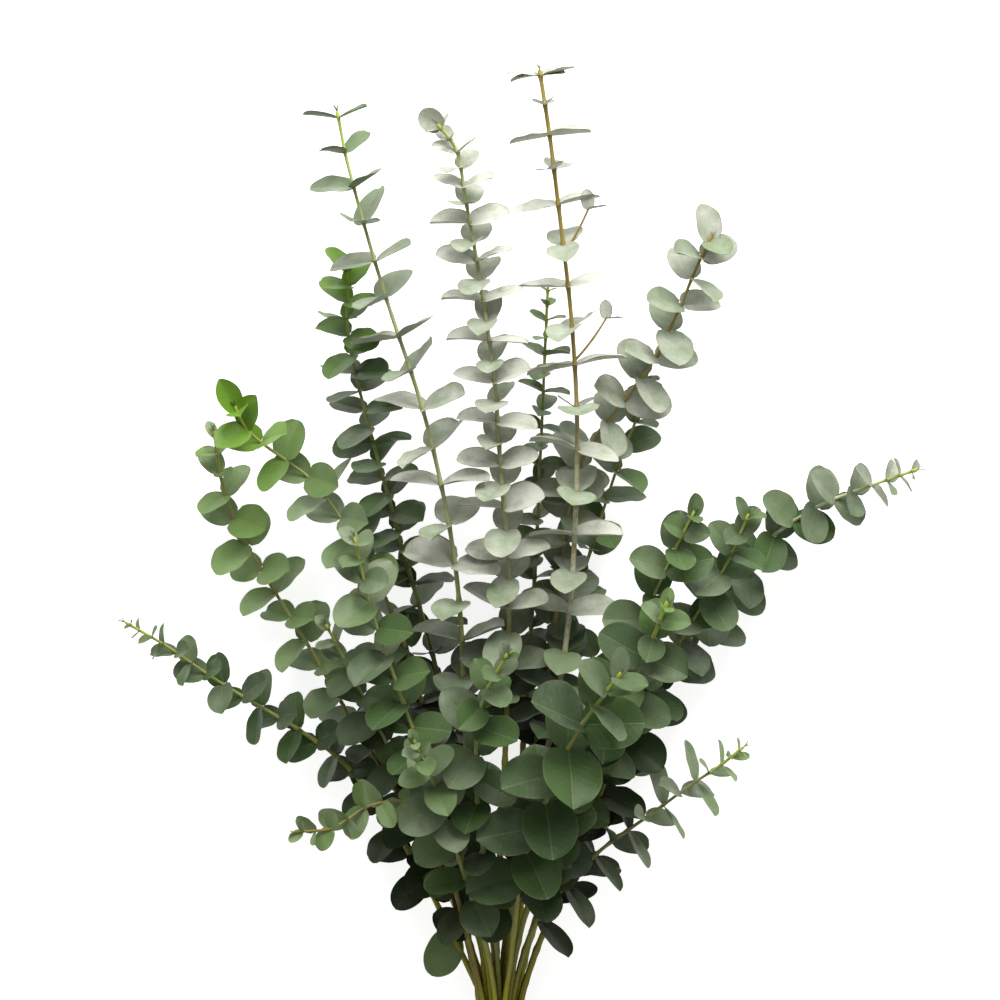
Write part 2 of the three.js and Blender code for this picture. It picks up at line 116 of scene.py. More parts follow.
class NodeBench:
    """Short ways to lay out one material's nodes."""

    def __init__(self, name: str) -> None:
        """Start a material with one Principled shader.

        Args:
            name: The material's name.
        """
        self.material = bpy.data.materials.new(name)
        self.material.use_nodes = True
        self.tree = self.material.node_tree
        self.shader = self.tree.nodes["Principled BSDF"]

    def add(self, kind: str, **settings: object) -> bpy.types.Node:
        """Add one node.

        Args:
            kind: The node's type in Blender.
            **settings: Its own properties.

        Returns:
            The node.
        """
        node = self.tree.nodes.new(kind)
        for key, value in settings.items():
            setattr(node, key, value)
        return node

    def join(self, source: object, socket: bpy.types.NodeSocket) -> None:
        """Feed a socket from another socket, or set it to a plain value.

        Args:
            source: The other socket or the value.
            socket: The socket to feed.
        """
        if isinstance(source, bpy.types.NodeSocket):
            self.tree.links.new(source, socket)
        else:
            socket.default_value = source

    def stored(self, name: str) -> bpy.types.NodeSocket:
        """Return a number that is stored on the mesh."""
        return self.add("ShaderNodeAttribute", attribute_name=name).outputs["Fac"]

    def stored_vector(self, name: str) -> bpy.types.NodeSocket:
        """Return a vector that is stored on the mesh."""
        return self.add("ShaderNodeAttribute", attribute_name=name).outputs["Vector"]

    def place(self) -> bpy.types.NodeSocket:
        """Return the position on the object itself."""
        return self.add("ShaderNodeTexCoord").outputs["Object"]

    def noise(self, scale: float, detail: float = 3.0, rough: float = 0.55,
              vector: bpy.types.NodeSocket | None = None) -> bpy.types.NodeSocket:
        """Return a cloud of values around one half.

        Args:
            scale: Clouds per metre.
            detail: Octaves.
            rough: Weight of the finer octaves.
            vector: Where to sample, or None for the position on the object.

        Returns:
            The noise value.
        """
        node = self.add("ShaderNodeTexNoise")
        self.join(vector or self.place(), node.inputs["Vector"])
        node.inputs["Scale"].default_value = scale
        node.inputs["Detail"].default_value = detail
        node.inputs["Roughness"].default_value = rough
        return node.outputs["Fac"]

    def math(self, operation: str, *values: object, clamp: bool = False) -> bpy.types.NodeSocket:
        """Return one sum, product or other operation on numbers or sockets.

        Args:
            operation: Its name in Blender.
            *values: What it works on, in order.
            clamp: Whether the result is held between 0 and 1.

        Returns:
            The result.
        """
        node = self.add("ShaderNodeMath", operation=operation, use_clamp=clamp)
        for value, socket in zip(values, node.inputs):
            self.join(value, socket)
        return node.outputs[0]

    def span(self, value: object, low: float, high: float, start: float = 0.0,
             end: float = 1.0, smooth: bool = True) -> bpy.types.NodeSocket:
        """Return a value moved from one range to another, and held inside it.

        Args:
            value: The number to move.
            low: Value that gives start.
            high: Value that gives end.
            start: Result at low.
            end: Result at high.
            smooth: Whether the change eases in and out.

        Returns:
            The moved value.
        """
        node = self.add("ShaderNodeMapRange",
                        interpolation_type="SMOOTHSTEP" if smooth else "LINEAR")
        self.join(value, node.inputs["Value"])
        limits = {"From Min": low, "From Max": high, "To Min": start, "To Max": end}
        for name, number in limits.items():
            node.inputs[name].default_value = number
        return node.outputs["Result"]

    def mix(self, share: object, first: object, second: object) -> bpy.types.NodeSocket:
        """Return a colour between two colours.

        Args:
            share: How much of the second there is, from 0 to 1.
            first: The first colour.
            second: The second colour.

        Returns:
            The mixed colour.
        """
        node = self.add("ShaderNodeMix", data_type="RGBA")
        self.join(share, node.inputs["Factor"])
        colours = [s for s in node.inputs if s.type == "RGBA"]
        for value, socket in zip((first, second), colours):
            self.join((*value, 1.0) if isinstance(value, tuple) else value, socket)
        return [s for s in node.outputs if s.type == "RGBA"][0]

    def bump(self, height: bpy.types.NodeSocket, strength: float, distance: float) -> None:
        """Raise the surface by a height map.

        Args:
            height: The map.
            strength: Share of the full effect.
            distance: Height of a step from 0 to 1, in metres.
        """
        node = self.add("ShaderNodeBump")
        node.inputs["Strength"].default_value = strength
        node.inputs["Distance"].default_value = distance
        self.join(height, node.inputs["Height"])
        self.join(node.outputs["Normal"], self.shader.inputs["Normal"])

    def finish(self, colour: object, roughness: object, **constants: float) -> bpy.types.Material:
        """Connect colour and roughness, and set the shader's plain values.

        Args:
            colour: Base colour.
            roughness: Roughness.
            **constants: Other sockets, named with underscores for spaces.

        Returns:
            The material.
        """
        self.join((*colour, 1.0) if isinstance(colour, tuple) else colour,
                  self.shader.inputs["Base Color"])
        self.join(roughness, self.shader.inputs["Roughness"])
        for name, value in constants.items():
            self.shader.inputs[name.replace("_", " ")].default_value = value
        return self.material


@dataclass(frozen=True)
class LeafFinish:
    """Leathery leaf with a waxy bloom, pale veins and a thin light rim."""

    mid: Colour = (0.090, 0.152, 0.050)
    deep: Colour = (0.022, 0.055, 0.012)
    wax: Colour = (0.515, 0.520, 0.465)
    under: Colour = (0.165, 0.215, 0.115)
    # Near-black painted shade for leaves deep inside the bunch.
    inner: Colour = (0.010, 0.017, 0.005)
    fresh: Colour = (0.140, 0.285, 0.016)
    vein: Colour = (0.240, 0.300, 0.130)
    rim: Colour = (0.200, 0.160, 0.075)
    scorch: Colour = (0.180, 0.120, 0.050)
    cloud_grain: Grain = (70.0, 4.0, 0.6)
    speck_grain: Grain = (900.0, 2.0, 0.5)
    scorch_grain: Grain = (38.0, 5.0, 0.7)
    crinkle_grain: Grain = (260.0, 3.0, 0.6)
    patchiness: float = 2.2
    speckle: float = 0.5
    stray_bloom: float = 0.05
    wax_cover: float = 0.9
    under_cover: float = 0.40
    under_wax: float = -0.34
    veins: float = 8.5
    vein_slope: float = -2.6
    vein_cover: float = 0.07
    midrib_cover: float = 0.22
    rim_cover: float = 0.22
    rim_wax: float = 0.65
    scorch_cover: float = 0.45
    painted_inner_shade: float = 0.86
    roughness: float = 0.43
    wax_roughness: float = 0.20
    speck_roughness: float = 0.12
    vein_depth: float = -0.30
    midrib_depth: float = -0.7
    crinkle: float = 0.55
    relief: Span = (0.42, 0.0006)

    def material(self) -> bpy.types.Material:
        """Return the leaf material, driven by what each blade stores.

        Returns:
            The material.
        """
        b = NodeBench("leaf_wax_green")
        along, across = b.stored("along"), b.math("ABSOLUTE", b.stored("across"))
        edge, under = b.stored("edge"), b.stored("under")
        cloud = b.noise(*self.cloud_grain)
        speck = b.noise(*self.speck_grain)

        # Green blade under a patchy bloom of wax.
        body = b.mix(b.stored("shade"), self.mid, self.deep)
        patchy = b.math("MULTIPLY_ADD", b.math("SUBTRACT", cloud, 0.5), self.patchiness, 1.0)
        patchy = b.math("MULTIPLY_ADD", b.math("SUBTRACT", speck, 0.5), self.speckle, patchy)
        rubbed = b.math("MULTIPLY", b.stored("wax"), patchy, clamp=True)
        stray = b.span(cloud, 0.55, 0.75, 0.0, self.stray_bloom)
        rubbed = b.math("ADD", rubbed, stray, clamp=True)
        body = b.mix(b.math("MULTIPLY", rubbed, self.wax_cover), body, self.wax)
        fresh = b.math("MULTIPLY", b.stored("fresh"), b.span(cloud, 0.25, 0.75, 0.8, 1.0),
                       clamp=True)
        body = b.mix(fresh, body, self.fresh)
        bare = b.math("MULTIPLY_ADD", b.stored("wax"), self.under_wax, self.under_cover, clamp=True)
        body = b.mix(b.math("MULTIPLY", under, bare), body, self.under)

        # Side veins that slant towards the tip, and the midrib.
        steps = b.math("MULTIPLY_ADD", across, self.vein_slope,
                       b.math("MULTIPLY", along, self.veins))
        wave = b.math("MULTIPLY", b.math("PINGPONG", steps, 0.5), 2.0)
        side = b.math("MULTIPLY", b.span(wave, 0.80, 1.0), b.span(edge, 0.7, 0.95, 1.0, 0.0))
        midrib = b.span(across, 0.010, 0.045, 1.0, 0.0)
        body = b.mix(b.math("MULTIPLY", side, self.vein_cover), body, self.vein)
        body = b.mix(b.math("MULTIPLY", midrib, self.midrib_cover), body, self.vein)

        # Thin rim, scorched spots, and painted shade on leaves deep inside the foot of the bunch.
        bare_rim = b.math("MULTIPLY_ADD", b.stored("wax"), self.rim_wax, self.rim_cover, clamp=True)
        bare_rim = b.math("MULTIPLY", bare_rim, b.span(b.stored("rim"), 0.25, 0.85))
        body = b.mix(bare_rim, body, self.rim)
        scorched = b.math("MULTIPLY", b.span(b.noise(*self.scorch_grain), 0.66, 0.74),
                          self.scorch_cover)
        body = b.mix(scorched, body, self.scorch)
        # Painted shade: leaves low inside the bunch are darkened towards near black.
        body = b.mix(b.math("MULTIPLY", b.stored("inner"), self.painted_inner_shade), body, self.inner)

        rough = b.math("MULTIPLY_ADD", rubbed, self.wax_roughness, self.roughness)
        rough = b.math("MULTIPLY_ADD", b.math("SUBTRACT", speck, 0.5), self.speck_roughness, rough,
                       clamp=True)
        relief = b.math("MULTIPLY_ADD", side, self.vein_depth,
                        b.math("MULTIPLY", midrib, self.midrib_depth))
        relief = b.math("MULTIPLY_ADD", b.noise(*self.crinkle_grain), self.crinkle, relief)
        b.bump(relief, *self.relief)
        return b.finish(body, rough, Specular_IOR_Level=0.22, Sheen_Weight=0.02)


@dataclass(frozen=True)
class StemFinish:
    """Smooth young bark: yellow-green at the tip, olive and brown lower down."""

    tip: Colour = (0.360, 0.450, 0.070)
    young: Colour = (0.240, 0.280, 0.060)
    tan: Colour = (0.240, 0.165, 0.045)
    old: Colour = (0.200, 0.192, 0.012)
    olive: Colour = (0.560, 0.530, 0.024)
    brown: Colour = (0.055, 0.036, 0.012)
    wax: Colour = (0.500, 0.530, 0.420)
    wood: Colour = (0.560, 0.500, 0.290)
    # Near-black painted shade between crowded stems.
    gap: Colour = (0.012, 0.009, 0.002)
    streak_grain: Grain = (6.0, 4.0, 0.6)
    patch_grain: Grain = (28.0, 3.0, 0.6)
    wax_cover: float = 0.85
    joint_cover: float = 0.45
    painted_gap_shade: float = 0.95
    rings: float = 3.5
    ring_cover: float = 0.35
    pore: float = 0.4
    relief: Span = (0.5, 0.0005)
    roughness: Span = (0.46, 0.62)

    def material(self) -> bpy.types.Material:
        """Return the bark material, driven by what each stem stores.

        Returns:
            The material.
        """
        b = NodeBench("stem_young_bark")
        age = b.stored("age")
        streak = b.noise(*self.streak_grain, b.stored_vector("bark"))
        patch = b.noise(*self.patch_grain)

        # Bark from tip to foot, with ruddy patches and dark streaks.
        colour = b.mix(b.span(age, 0.0, 0.14), self.tip, self.young)
        lower = b.mix(b.stored("olive"), self.old, self.olive)
        colour = b.mix(b.span(age, 0.42, 0.86), colour, lower)
        ruddy = b.math("MULTIPLY", b.stored("tan"), b.span(age, 0.55, 0.85, 1.0, 0.25))
        ruddy = b.math("MULTIPLY", ruddy, b.span(patch, 0.22, 0.48), clamp=True)
        colour = b.mix(ruddy, colour, self.tan)
        dark = b.math("MULTIPLY", b.span(streak, 0.52, 0.72), b.span(age, 0.35, 0.8, 0.12, 0.60))
        colour = b.mix(dark, colour, self.brown)

        # Bloom, joints, the sawn face, and painted shade between crowded stems.
        waxed = b.math("MULTIPLY", b.stored("wax"), b.span(b.noise(120.0, 3.0), 0.25, 0.55),
                       clamp=True)
        colour = b.mix(b.math("MULTIPLY", waxed, self.wax_cover), colour, self.wax)
        colour = b.mix(b.math("MULTIPLY", b.stored("joint"), self.joint_cover), colour, self.tan)
        turns = b.math("MULTIPLY", b.stored("cut"), self.rings)
        rings = b.span(b.math("PINGPONG", turns, 0.5), 0.0, 0.5, 0.0, self.ring_cover)
        sawn = b.mix(rings, self.wood, self.tan)
        colour = b.mix(b.span(b.stored("cut"), 0.01, 0.06), colour, sawn)
        # Painted shade: stem sides that don't face up go near black low in the bundle.
        colour = b.mix(b.math("MULTIPLY", b.stored("gap"), self.painted_gap_shade), colour, self.gap)

        height = b.math("MULTIPLY_ADD", b.noise(420.0, 3.0), self.pore, streak)
        b.bump(height, *self.relief)
        rough = b.span(streak, 0.3, 0.7, *self.roughness)
        return b.finish(colour, rough, Specular_IOR_Level=0.12)


@dataclass(frozen=True)
class RubberFinish:
    """Plain tan rubber, a little dusty."""

    body: Colour = (0.420, 0.235, 0.098)
    dust: Colour = (0.560, 0.420, 0.270)

    def material(self) -> bpy.types.Material:
        """Return the rubber material.

        Returns:
            The material.
        """
        b = NodeBench("band_tan_rubber")
        cloud = b.noise(160.0, 4.0, 0.6)
        colour = b.mix(b.span(cloud, 0.42, 0.72, 0.0, 0.6), self.body, self.dust)
        b.bump(b.noise(1400.0, 2.0), 0.35, 0.0003)
        return b.finish(colour, b.span(cloud, 0.3, 0.7, 0.46, 0.66), Specular_IOR_Level=0.45)


@dataclass(frozen=True)
class TableFinish:
    """Plain pale table top."""

    body: Colour = (0.600, 0.600, 0.600)
    cloud: Colour = (0.560, 0.560, 0.560)
    glow: float = 0.80

    def material(self) -> bpy.types.Material:
        """Return the table material.

        Returns:
            The material.
        """
        b = NodeBench("table_pale_matt")
        colour = b.mix(b.noise(3.0, 2.0), self.body, self.cloud)
        b.shader.inputs["Emission Color"].default_value = (1.0, 1.0, 1.0, 1.0)
        return b.finish(colour, b.span(b.noise(30.0), 0.3, 0.7, 0.75, 0.9),
                        Specular_IOR_Level=0.2, Emission_Strength=self.glow)


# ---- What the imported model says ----


@dataclass
class Blade:
    """One leaf: where it stands, how it is turned and how large it is, in metres.

    Its place is a share of the stem's length, from 0 at the tip to 1 at the cut end. A leaf
    that isn't inside stays clear of the painted shade at the foot of the bunch.
    """

    root: np.ndarray
    along: np.ndarray
    across: np.ndarray
    face: np.ndarray
    length: float
    width: float
    place: float = 0.0
    stem_radius: float = 1.0 * MM
    inside: bool = True


@dataclass
class Stem:
    """Centre line of a stem from its cut end to its tip, with its half thickness."""

    points: np.ndarray
    radii: np.ndarray

    def __post_init__(self) -> None:
        """Measure the line."""
        steps = np.linalg.norm(np.diff(self.points, axis=0), axis=1)
        self.marks = np.concatenate([[0.0], np.cumsum(steps)])
        self.length = float(self.marks[-1])

    def at(self, marks: np.ndarray) -> np.ndarray:
        """Return points on a smooth curve through the line.

        Args:
            marks: Distances from the cut end.

        Returns:
            One point for each distance.
        """
        s, p = self.marks, self.points
        slope = np.gradient(p, s, axis=0)
        i = np.clip(np.searchsorted(s, marks, side="right") - 1, 0, len(s) - 2)
        h = (s[i + 1] - s[i])[:, None]
        u = ((marks - s[i]) / h[:, 0])[:, None]
        start, end = p[i], p[i + 1]
        leave, arrive = slope[i] * h, slope[i + 1] * h
        return ((2 * u**3 - 3 * u**2 + 1) * start + (u**3 - 2 * u**2 + u) * leave
                + (3 * u**2 - 2 * u**3) * end + (u**3 - u**2) * arrive)

    def radius_at(self, marks: np.ndarray) -> np.ndarray:
        """Return the half thickness at distances from the cut end."""
        return np.interp(marks, self.marks, self.radii)

    def nearest(self, point: np.ndarray) -> float:
        """Return the distance along the line of its nearest measured point."""
        return float(self.marks[int(np.argmin(np.linalg.norm(self.points - point, axis=1)))])


@dataclass
class BranchSurvey:
    """Reads one packed branch: its stem's centre line and every leaf on it."""

    node: str
    weld: float = 0.02 * MM
    same_ring: float = 1.7 * MM
    rounding: float = 1.12
    tip_taper: float = 0.8
    side_share: float = 0.9
    blades: list[Blade] = field(default_factory=list)
    middles: dict[int, list[int]] = field(default_factory=dict)

    def __post_init__(self) -> None:
        """Read the branch."""
        mesh = bmesh.new()
        mesh.from_mesh(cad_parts[self.node].data)
        bmesh.ops.remove_doubles(mesh, verts=mesh.verts, dist=self.weld)
        mesh.verts.index_update()
        self.spots = np.array([v.co for v in mesh.verts], float)
        self.near = {v.index: {e.other_vert(v).index for e in v.link_edges} for v in mesh.verts}
        mesh.free()
        rims = self._rims()
        self.stem = self._stem(rims)
        for rim in rims:
            self._read_blade(rim)
        self.blades.sort(key=lambda blade: (round(blade.place, 5), *np.round(blade.along, 2)))

    def _rims(self) -> list[list[int]]:
        """Find the rims of the leaves by how their points are joined.

        Along the rim only the two points next to the stem have five neighbours; the other three
        have four, of which two are the middles of the blade's faces, with seven neighbours each.

        Returns:
            For each leaf, its rim points in order from one side over the tip to the other.
        """
        count = {v: len(near) for v, near in self.near.items()}
        rims = []
        for tip, near in self.near.items():
            middles = [v for v in near if count[v] > 5]
            beside = [v for v in near if count[v] == 4]
            if len(near) != 4 or len(middles) != 2 or len(beside) != 2:
                continue
            if not all(set(middles) <= self.near[v] for v in beside):
                continue
            ends = [next(iter(self.near[v] - {tip, *middles})) for v in beside]
            rims.append([ends[0], beside[0], tip, beside[1], ends[1]])
            self.middles[tip] = middles
        return rims

    def _stem(self, rims: list[list[int]]) -> Stem:
        """Walk the rings of the stem from its cut end.

        Args:
            rims: The leaves' rims.

        Returns:
            The stem's centre line.
        """
        blade_spots = set()
        for rim in rims:
            blade_spots.update(rim, self.middles[rim[2]])
        open_spots = [v for v in self.near if v not in blade_spots]
        front = set(sorted(open_spots, key=lambda v: self.spots[v][1])[:4])
        walked, rings = set(front), []
        while front:
            corners = self.spots[sorted(front)]
            centre = corners.mean(axis=0)
            spread = np.linalg.norm(corners - centre, axis=1).mean() / math.sqrt(2.0)
            rings.append((centre, float(spread)))
            front = {n for v in front for n in self.near[v]
                     if n not in walked and n not in blade_spots}
            walked |= front
        points, radii = [rings[0][0]], [rings[0][1]]
        for centre, spread in rings[1:]:
            if np.linalg.norm(centre - points[-1]) < self.same_ring and spread > 0:
                points[-1] = (points[-1] + centre) / 2
            else:
                points.append(centre)
                radii.append(spread)
        radii[-1] = radii[-2] * self.tip_taper
        return Stem(np.array(points), np.array(radii) * self.rounding)

    def _read_blade(self, rim: list[int]) -> None:
        """Measure one leaf and keep it.

        Args:
            rim: Its rim points in order.
        """
        middles = self.middles[rim[2]]
        feet = [v for m in middles for v in self.near[m] if v not in rim and v not in middles]
        if not feet:
            return
        root = self.spots[sorted(set(feet))].mean(axis=0)
        tip = self.spots[rim[2]]
        one = (self.spots[rim[0]] + self.spots[rim[1]]) / 2
        two = (self.spots[rim[4]] + self.spots[rim[3]]) / 2
        along = unit(tip - root)
        across = one - two
        across = unit(across - along * across.dot(along))
        face = np.cross(along, across)
        raised = (one + two) / 2 - root
        if raised.dot(face) < 0:
            across, face = -across, -face
        width = max(np.linalg.norm(self.spots[rim[0]] - self.spots[rim[4]]),
                    np.linalg.norm(self.spots[rim[1]] - self.spots[rim[3]])) / self.side_share
        mark = self.stem.nearest(root)
        self.blades.append(Blade(
            root=root, along=along, across=across, face=face,
            length=float(np.linalg.norm(tip - root)), width=float(width),
            place=1.0 - mark / self.stem.length,
            stem_radius=float(self.stem.radius_at(np.array([mark]))[0])))


# ---- Meshes ----


def make_object(name: str, points: np.ndarray, faces: Sequence[Sequence[int]],
                material: bpy.types.Material, stored: dict[str, np.ndarray],
                sharp: Iterable[tuple[int, int]] = ()) -> bpy.types.Object:
    """Make a smooth-shaded mesh object with numbers stored on its points.

    Args:
        name: The object's name.
        points: Its points, in metres.
        faces: Point numbers of each face.
        material: Its finish.
        stored: Numbers or vectors to store, by name.
        sharp: Edges to keep crisp.

    Returns:
        The object.
    """
    mesh = bpy.data.meshes.new(name)
    mesh.from_pydata(points.tolist(), [], [list(map(int, f)) for f in faces])
    mesh.polygons.foreach_set("use_smooth", np.ones(len(mesh.polygons), bool))
    for key, values in stored.items():
        kind = "FLOAT_VECTOR" if values.ndim == 2 else "FLOAT"
        layer = mesh.attributes.new(key, kind, "POINT")
        layer.data.foreach_set("vector" if values.ndim == 2 else "value",
                               values.astype(np.float32).ravel())
    crisp = {tuple(sorted(edge)) for edge in sharp}
    if crisp:
        ends = np.empty(len(mesh.edges) * 2, np.int64)
        mesh.edges.foreach_get("vertices", ends)
        ends = np.sort(ends.reshape(-1, 2), axis=1)
        flags = np.array([(int(a), int(b)) in crisp for a, b in ends])
        mesh.attributes.new("sharp_edge", "BOOLEAN", "EDGE").data.foreach_set("value", flags)
    mesh.materials.append(material)
    made = bpy.data.objects.new(name, mesh)
    bpy.context.scene.collection.objects.link(made)
    return made


def joined(parts: Sequence[Part]) -> tuple[np.ndarray, np.ndarray, list[list[int]]]:
    """Join parts into one set of points and faces.

    Args:
        parts: Points, faces and stored numbers of each.

    Returns:
        The number of each part's first point, the points, and the faces.
    """
    starts = np.cumsum([0, *[len(part[0]) for part in parts]])
    points = np.concatenate([part[0] for part in parts])
    faces = [[int(i + start) for i in face]
             for start, part in zip(starts, parts) for face in part[1]]
    return starts, points, faces


@dataclass
class LeafPattern:
    """Grid of one blade: rows from stem to tip, columns from side to side, two faces."""

    rows: int = 13
    half_columns: tuple[float, ...] = (0.05, 0.20, 0.44, 0.68, 0.88, 1.0)
    fold: float = math.radians(12.0)
    young_thickness: float = 0.30 * MM
    grown_thickness: float = 0.52 * MM
    grown_length: float = 35.0 * MM
    rib_height: float = 0.42 * MM
    rim_width: float = 1.1 * MM
    lowest: float = 0.05 * MM
    eased_rows: float = 0.35
    even_rows: float = 0.65
    crowding: float = 1.25
    slim_to_round: Span = (0.5, 0.78)
    widest_at: Span = (0.60, 0.47)
    widest_play: float = 0.03
    foot_width: Span = (0.10, 0.34)
    sharpest: float = 0.75
    tip_power: Span = (2.1, 1.95)
    tip_sharpening: Span = (0.5, 0.75)
    fill: float = 0.97
    skew_play: float = 0.06
    lobe_share: float = 0.085
    lobe_most: float = 0.9
    lobe_power: float = 1.4
    lobe_reach: float = 0.10
    lean_play: float = 0.012
    deeper_fold: float = 1.5
    curl: Span = (0.95, 1.9)
    belly: Span = (-0.012, 0.045)
    twist: float = 5.0
    ripple: float = 0.05
    ripple_play: Span = (0.2, 1.0)
    ripple_turns: Span = (1.2, 2.4)
    ripple_offset: float = 0.9
    flip: float = 0.06
    flip_play: Span = (-1.0, 0.5)
    side_thinning: float = 0.75
    tip_thinning: float = 0.35
    rib_width: float = 0.07
    rib_fade: float = 0.8
    rib_above: float = 0.3
    bare_foot: float = 0.03

    def __post_init__(self) -> None:
        """Number the points and the faces once, for every blade."""
        half = np.array(self.half_columns)
        self.columns = np.concatenate([-half[::-1], [0.0], half])
        rows, columns = self.rows, len(self.columns)
        self.rise = 0.5 - 0.5 * np.cos(np.linspace(0.0, math.pi, rows + 1))[:-1]
        even = np.linspace(0.0, 1.0, rows + 1)[:-1]
        self.rise = self.eased_rows * self.rise + self.even_rows * even
        self.rise = 1.0 - (1.0 - self.rise) ** self.crowding
        top = np.arange(rows * columns).reshape(rows, columns)
        inner = (rows - 1) * (columns - 2)
        under = top.copy()
        under[1:, 1:-1] = rows * columns + np.arange(inner).reshape(rows - 1, columns - 2)
        self.tip = rows * columns + inner
        faces: list[list[int]] = []
        for i in range(rows - 1):
            for j in range(columns - 1):
                faces.append([top[i, j], top[i, j + 1], top[i + 1, j + 1], top[i + 1, j]])
                faces.append([under[i, j], under[i + 1, j], under[i + 1, j + 1], under[i, j + 1]])
        for j in range(columns - 1):
            faces.append([top[-1, j], top[-1, j + 1], self.tip])
            faces.append([under[-1, j], self.tip, under[-1, j + 1]])
        self.faces = faces
        ring = [*top[0, :], *top[1:, -1], self.tip, *top[:0:-1, 0], top[0, 0]]
        self.edges = list(zip(ring[:-1], ring[1:]))

    def grow(self, blade: Blade, point: float,
             luck: random.Random) -> tuple[np.ndarray, dict[str, np.ndarray]]:
        """Shape one blade.

        Args:
            blade: Its place and size.
            point: How pointed its tip is, from 0 to 1.
            luck: Source of its small differences.

        Returns:
            Its points, and the numbers stored on them.
        """
        # t runs from stem to tip, and v from side to side.
        t = np.append(self.rise, 1.0)[:, None]
        v = self.columns[None, :]
        roundness = ease(*self.slim_to_round, blade.width / blade.length)
        widest = blend(*self.widest_at, roundness) + self.widest_play * luck.uniform(-1, 1)
        foot = blend(*self.foot_width, roundness)
        low = np.sqrt(np.clip(1.0 - ((widest - t) / widest) ** 2, 0.0, 1.0))
        low = foot + (1.0 - foot) * low
        high = np.clip((t - widest) / (1.0 - widest), 0.0, 1.0)
        sharpen = blend(0.0, self.sharpest, point)
        swell, close = (power - loss * sharpen
                        for power, loss in zip(self.tip_power, self.tip_sharpening))
        high = (1.0 - high ** swell) ** (1.0 / close)
        outline = np.where(t < widest, low, high)
        skew = 1.0 + self.skew_play * luck.uniform(-1, 1) * np.sign(v)
        half = blade.width / 2.0 * self.fill
        y = v * outline * half * skew
        lobe = min(self.lobe_share * blade.length, self.lobe_most * blade.stem_radius) * roundness
        x = (blade.length * t
             - lobe * np.abs(v) ** self.lobe_power * np.exp(-((t / self.lobe_reach) ** 2)))
        x = x + self.lean_play * blade.length * luck.uniform(-1, 1) * v * t

        fold = math.tan(self.fold) * half * (1.0 + self.deeper_fold * luck.random() ** 4)
        curl = luck.uniform(*self.curl)
        z = fold * outline * np.abs(v) ** curl
        belly = blade.length * luck.uniform(*self.belly)
        z = z + belly * np.sin(math.pi * t)
        z = z + y * math.tan(math.radians(luck.gauss(0.0, self.twist))) * t
        ripple = half * self.ripple * luck.uniform(*self.ripple_play)
        turns, start = luck.uniform(*self.ripple_turns), luck.uniform(*ANY_PHASE)
        phase = 2 * math.pi * turns * t + start + self.ripple_offset * np.sign(v)
        z = z + ripple * np.sin(phase) * np.abs(v) ** 2 * outline
        flip = blade.length * self.flip * luck.uniform(*self.flip_play)
        z = z + flip * t**4 * (1 - v**2)

        grown = blade.length / self.grown_length
        thick = blend(self.young_thickness, self.grown_thickness, min(grown, 1.0))
        body = thick * (1.0 - self.side_thinning * v**2) * (1.0 - self.tip_thinning * t) / 2
        rib = (self.rib_height * grown * (1.0 - t) ** self.rib_fade
               * np.exp(-((v / self.rib_width) ** 2)))
        above, below = z + body - self.rib_above * rib, z - body - rib
        middle = len(self.columns) // 2

        def flat(grid: np.ndarray, second: np.ndarray) -> np.ndarray:
            """Lay two grids out in the order in which the points are numbered.

            Args:
                grid: Values on the upper face.
                second: Values on the lower face.

            Returns:
                One value for each point.
            """
            full = np.broadcast_to(grid, (self.rows + 1, len(self.columns)))
            other = np.broadcast_to(second, full.shape)
            return np.concatenate([full[:-1].ravel(), other[1:-1, 1:-1].ravel(),
                                   full[-1:, middle]])

        on_rim = np.zeros((self.rows + 1, len(self.columns)), bool)
        on_rim[0, :] = on_rim[-1, :] = on_rim[:, 0] = on_rim[:, -1] = True
        above = np.where(on_rim, z, above)
        px, py, pz = flat(x, x), flat(y, y), flat(above, below)
        points = (blade.root + px[:, None] * blade.along + py[:, None] * blade.across
                  + pz[:, None] * blade.face)
        points[:, 2] = np.maximum(points[:, 2], self.lowest)
        edge = np.maximum(np.abs(v), (t**3.0))
        inward = np.minimum((1.0 - np.abs(v)) * outline * half, (1.0 - t) * blade.length * 0.8)
        rim = np.clip(1.0 - inward / self.rim_width, 0.0, 1.0) * (t > self.bare_foot)
        marks = {
            "along": flat(t + 0 * v, t + 0 * v),
            "across": flat(v * outline, v * outline),
            "edge": flat(edge, edge),
            "rim": flat(rim, rim),
            "under": flat(0 * (t + v), 0 * (t + v) + 1.0),
        }
        return points, marks


@dataclass(frozen=True)
class SideShoot:
    """A short young shoot in a leaf's armpit, with two small leaves at its tip."""

    place: float
    length: float
    lean: float
    leaf: float
    bend: float = 0.22
    rings: int = 5
    half_thickness_mm: Span = (0.95, 0.7)
    leaf_width: float = 0.72
    leaf_root: float = 0.6 * MM


@dataclass(frozen=True)
class LoneLeaf:
    """A single leaf outside the pairs, with the leaf tone of another place on the branch."""

    place: float
    along: tuple[float, float, float]
    length: float
    width: float
    face: tuple[float, float, float]
    tone: float


@dataclass(frozen=True)
class BranchDress:
    """How one branch looks: leaf tones from tip to foot, stem colour and side shoots.

    The leaves go from tip tone to body tone down to turn, and from there to foot tone down to
    settled, as shares of the stem's length. Paler tips and deeper feet are partly the leaves' own
    colour and partly painted light and painted shade. flat tells how squarely they face along the
    stem, at the tip and below turn.
    """

    node: str
    tip: Tone
    body: Tone
    foot: Tone
    turn: float = 0.35
    settled: float = 0.66
    tan: float = 0.12
    stem_wax: float = 0.2
    waxed: tuple[float, float, float, float] = (0.0, 0.10, 0.45, 0.75)
    girth: float = 0.95 * MM
    leaf_scale: float = 1.0
    flat: tuple[float, float] = (0.0, 0.0)
    point: float = 0.14
    tip_point: float = 0.25
    shoots: tuple[SideShoot, ...] = ()
    lone: tuple[LoneLeaf, ...] = ()


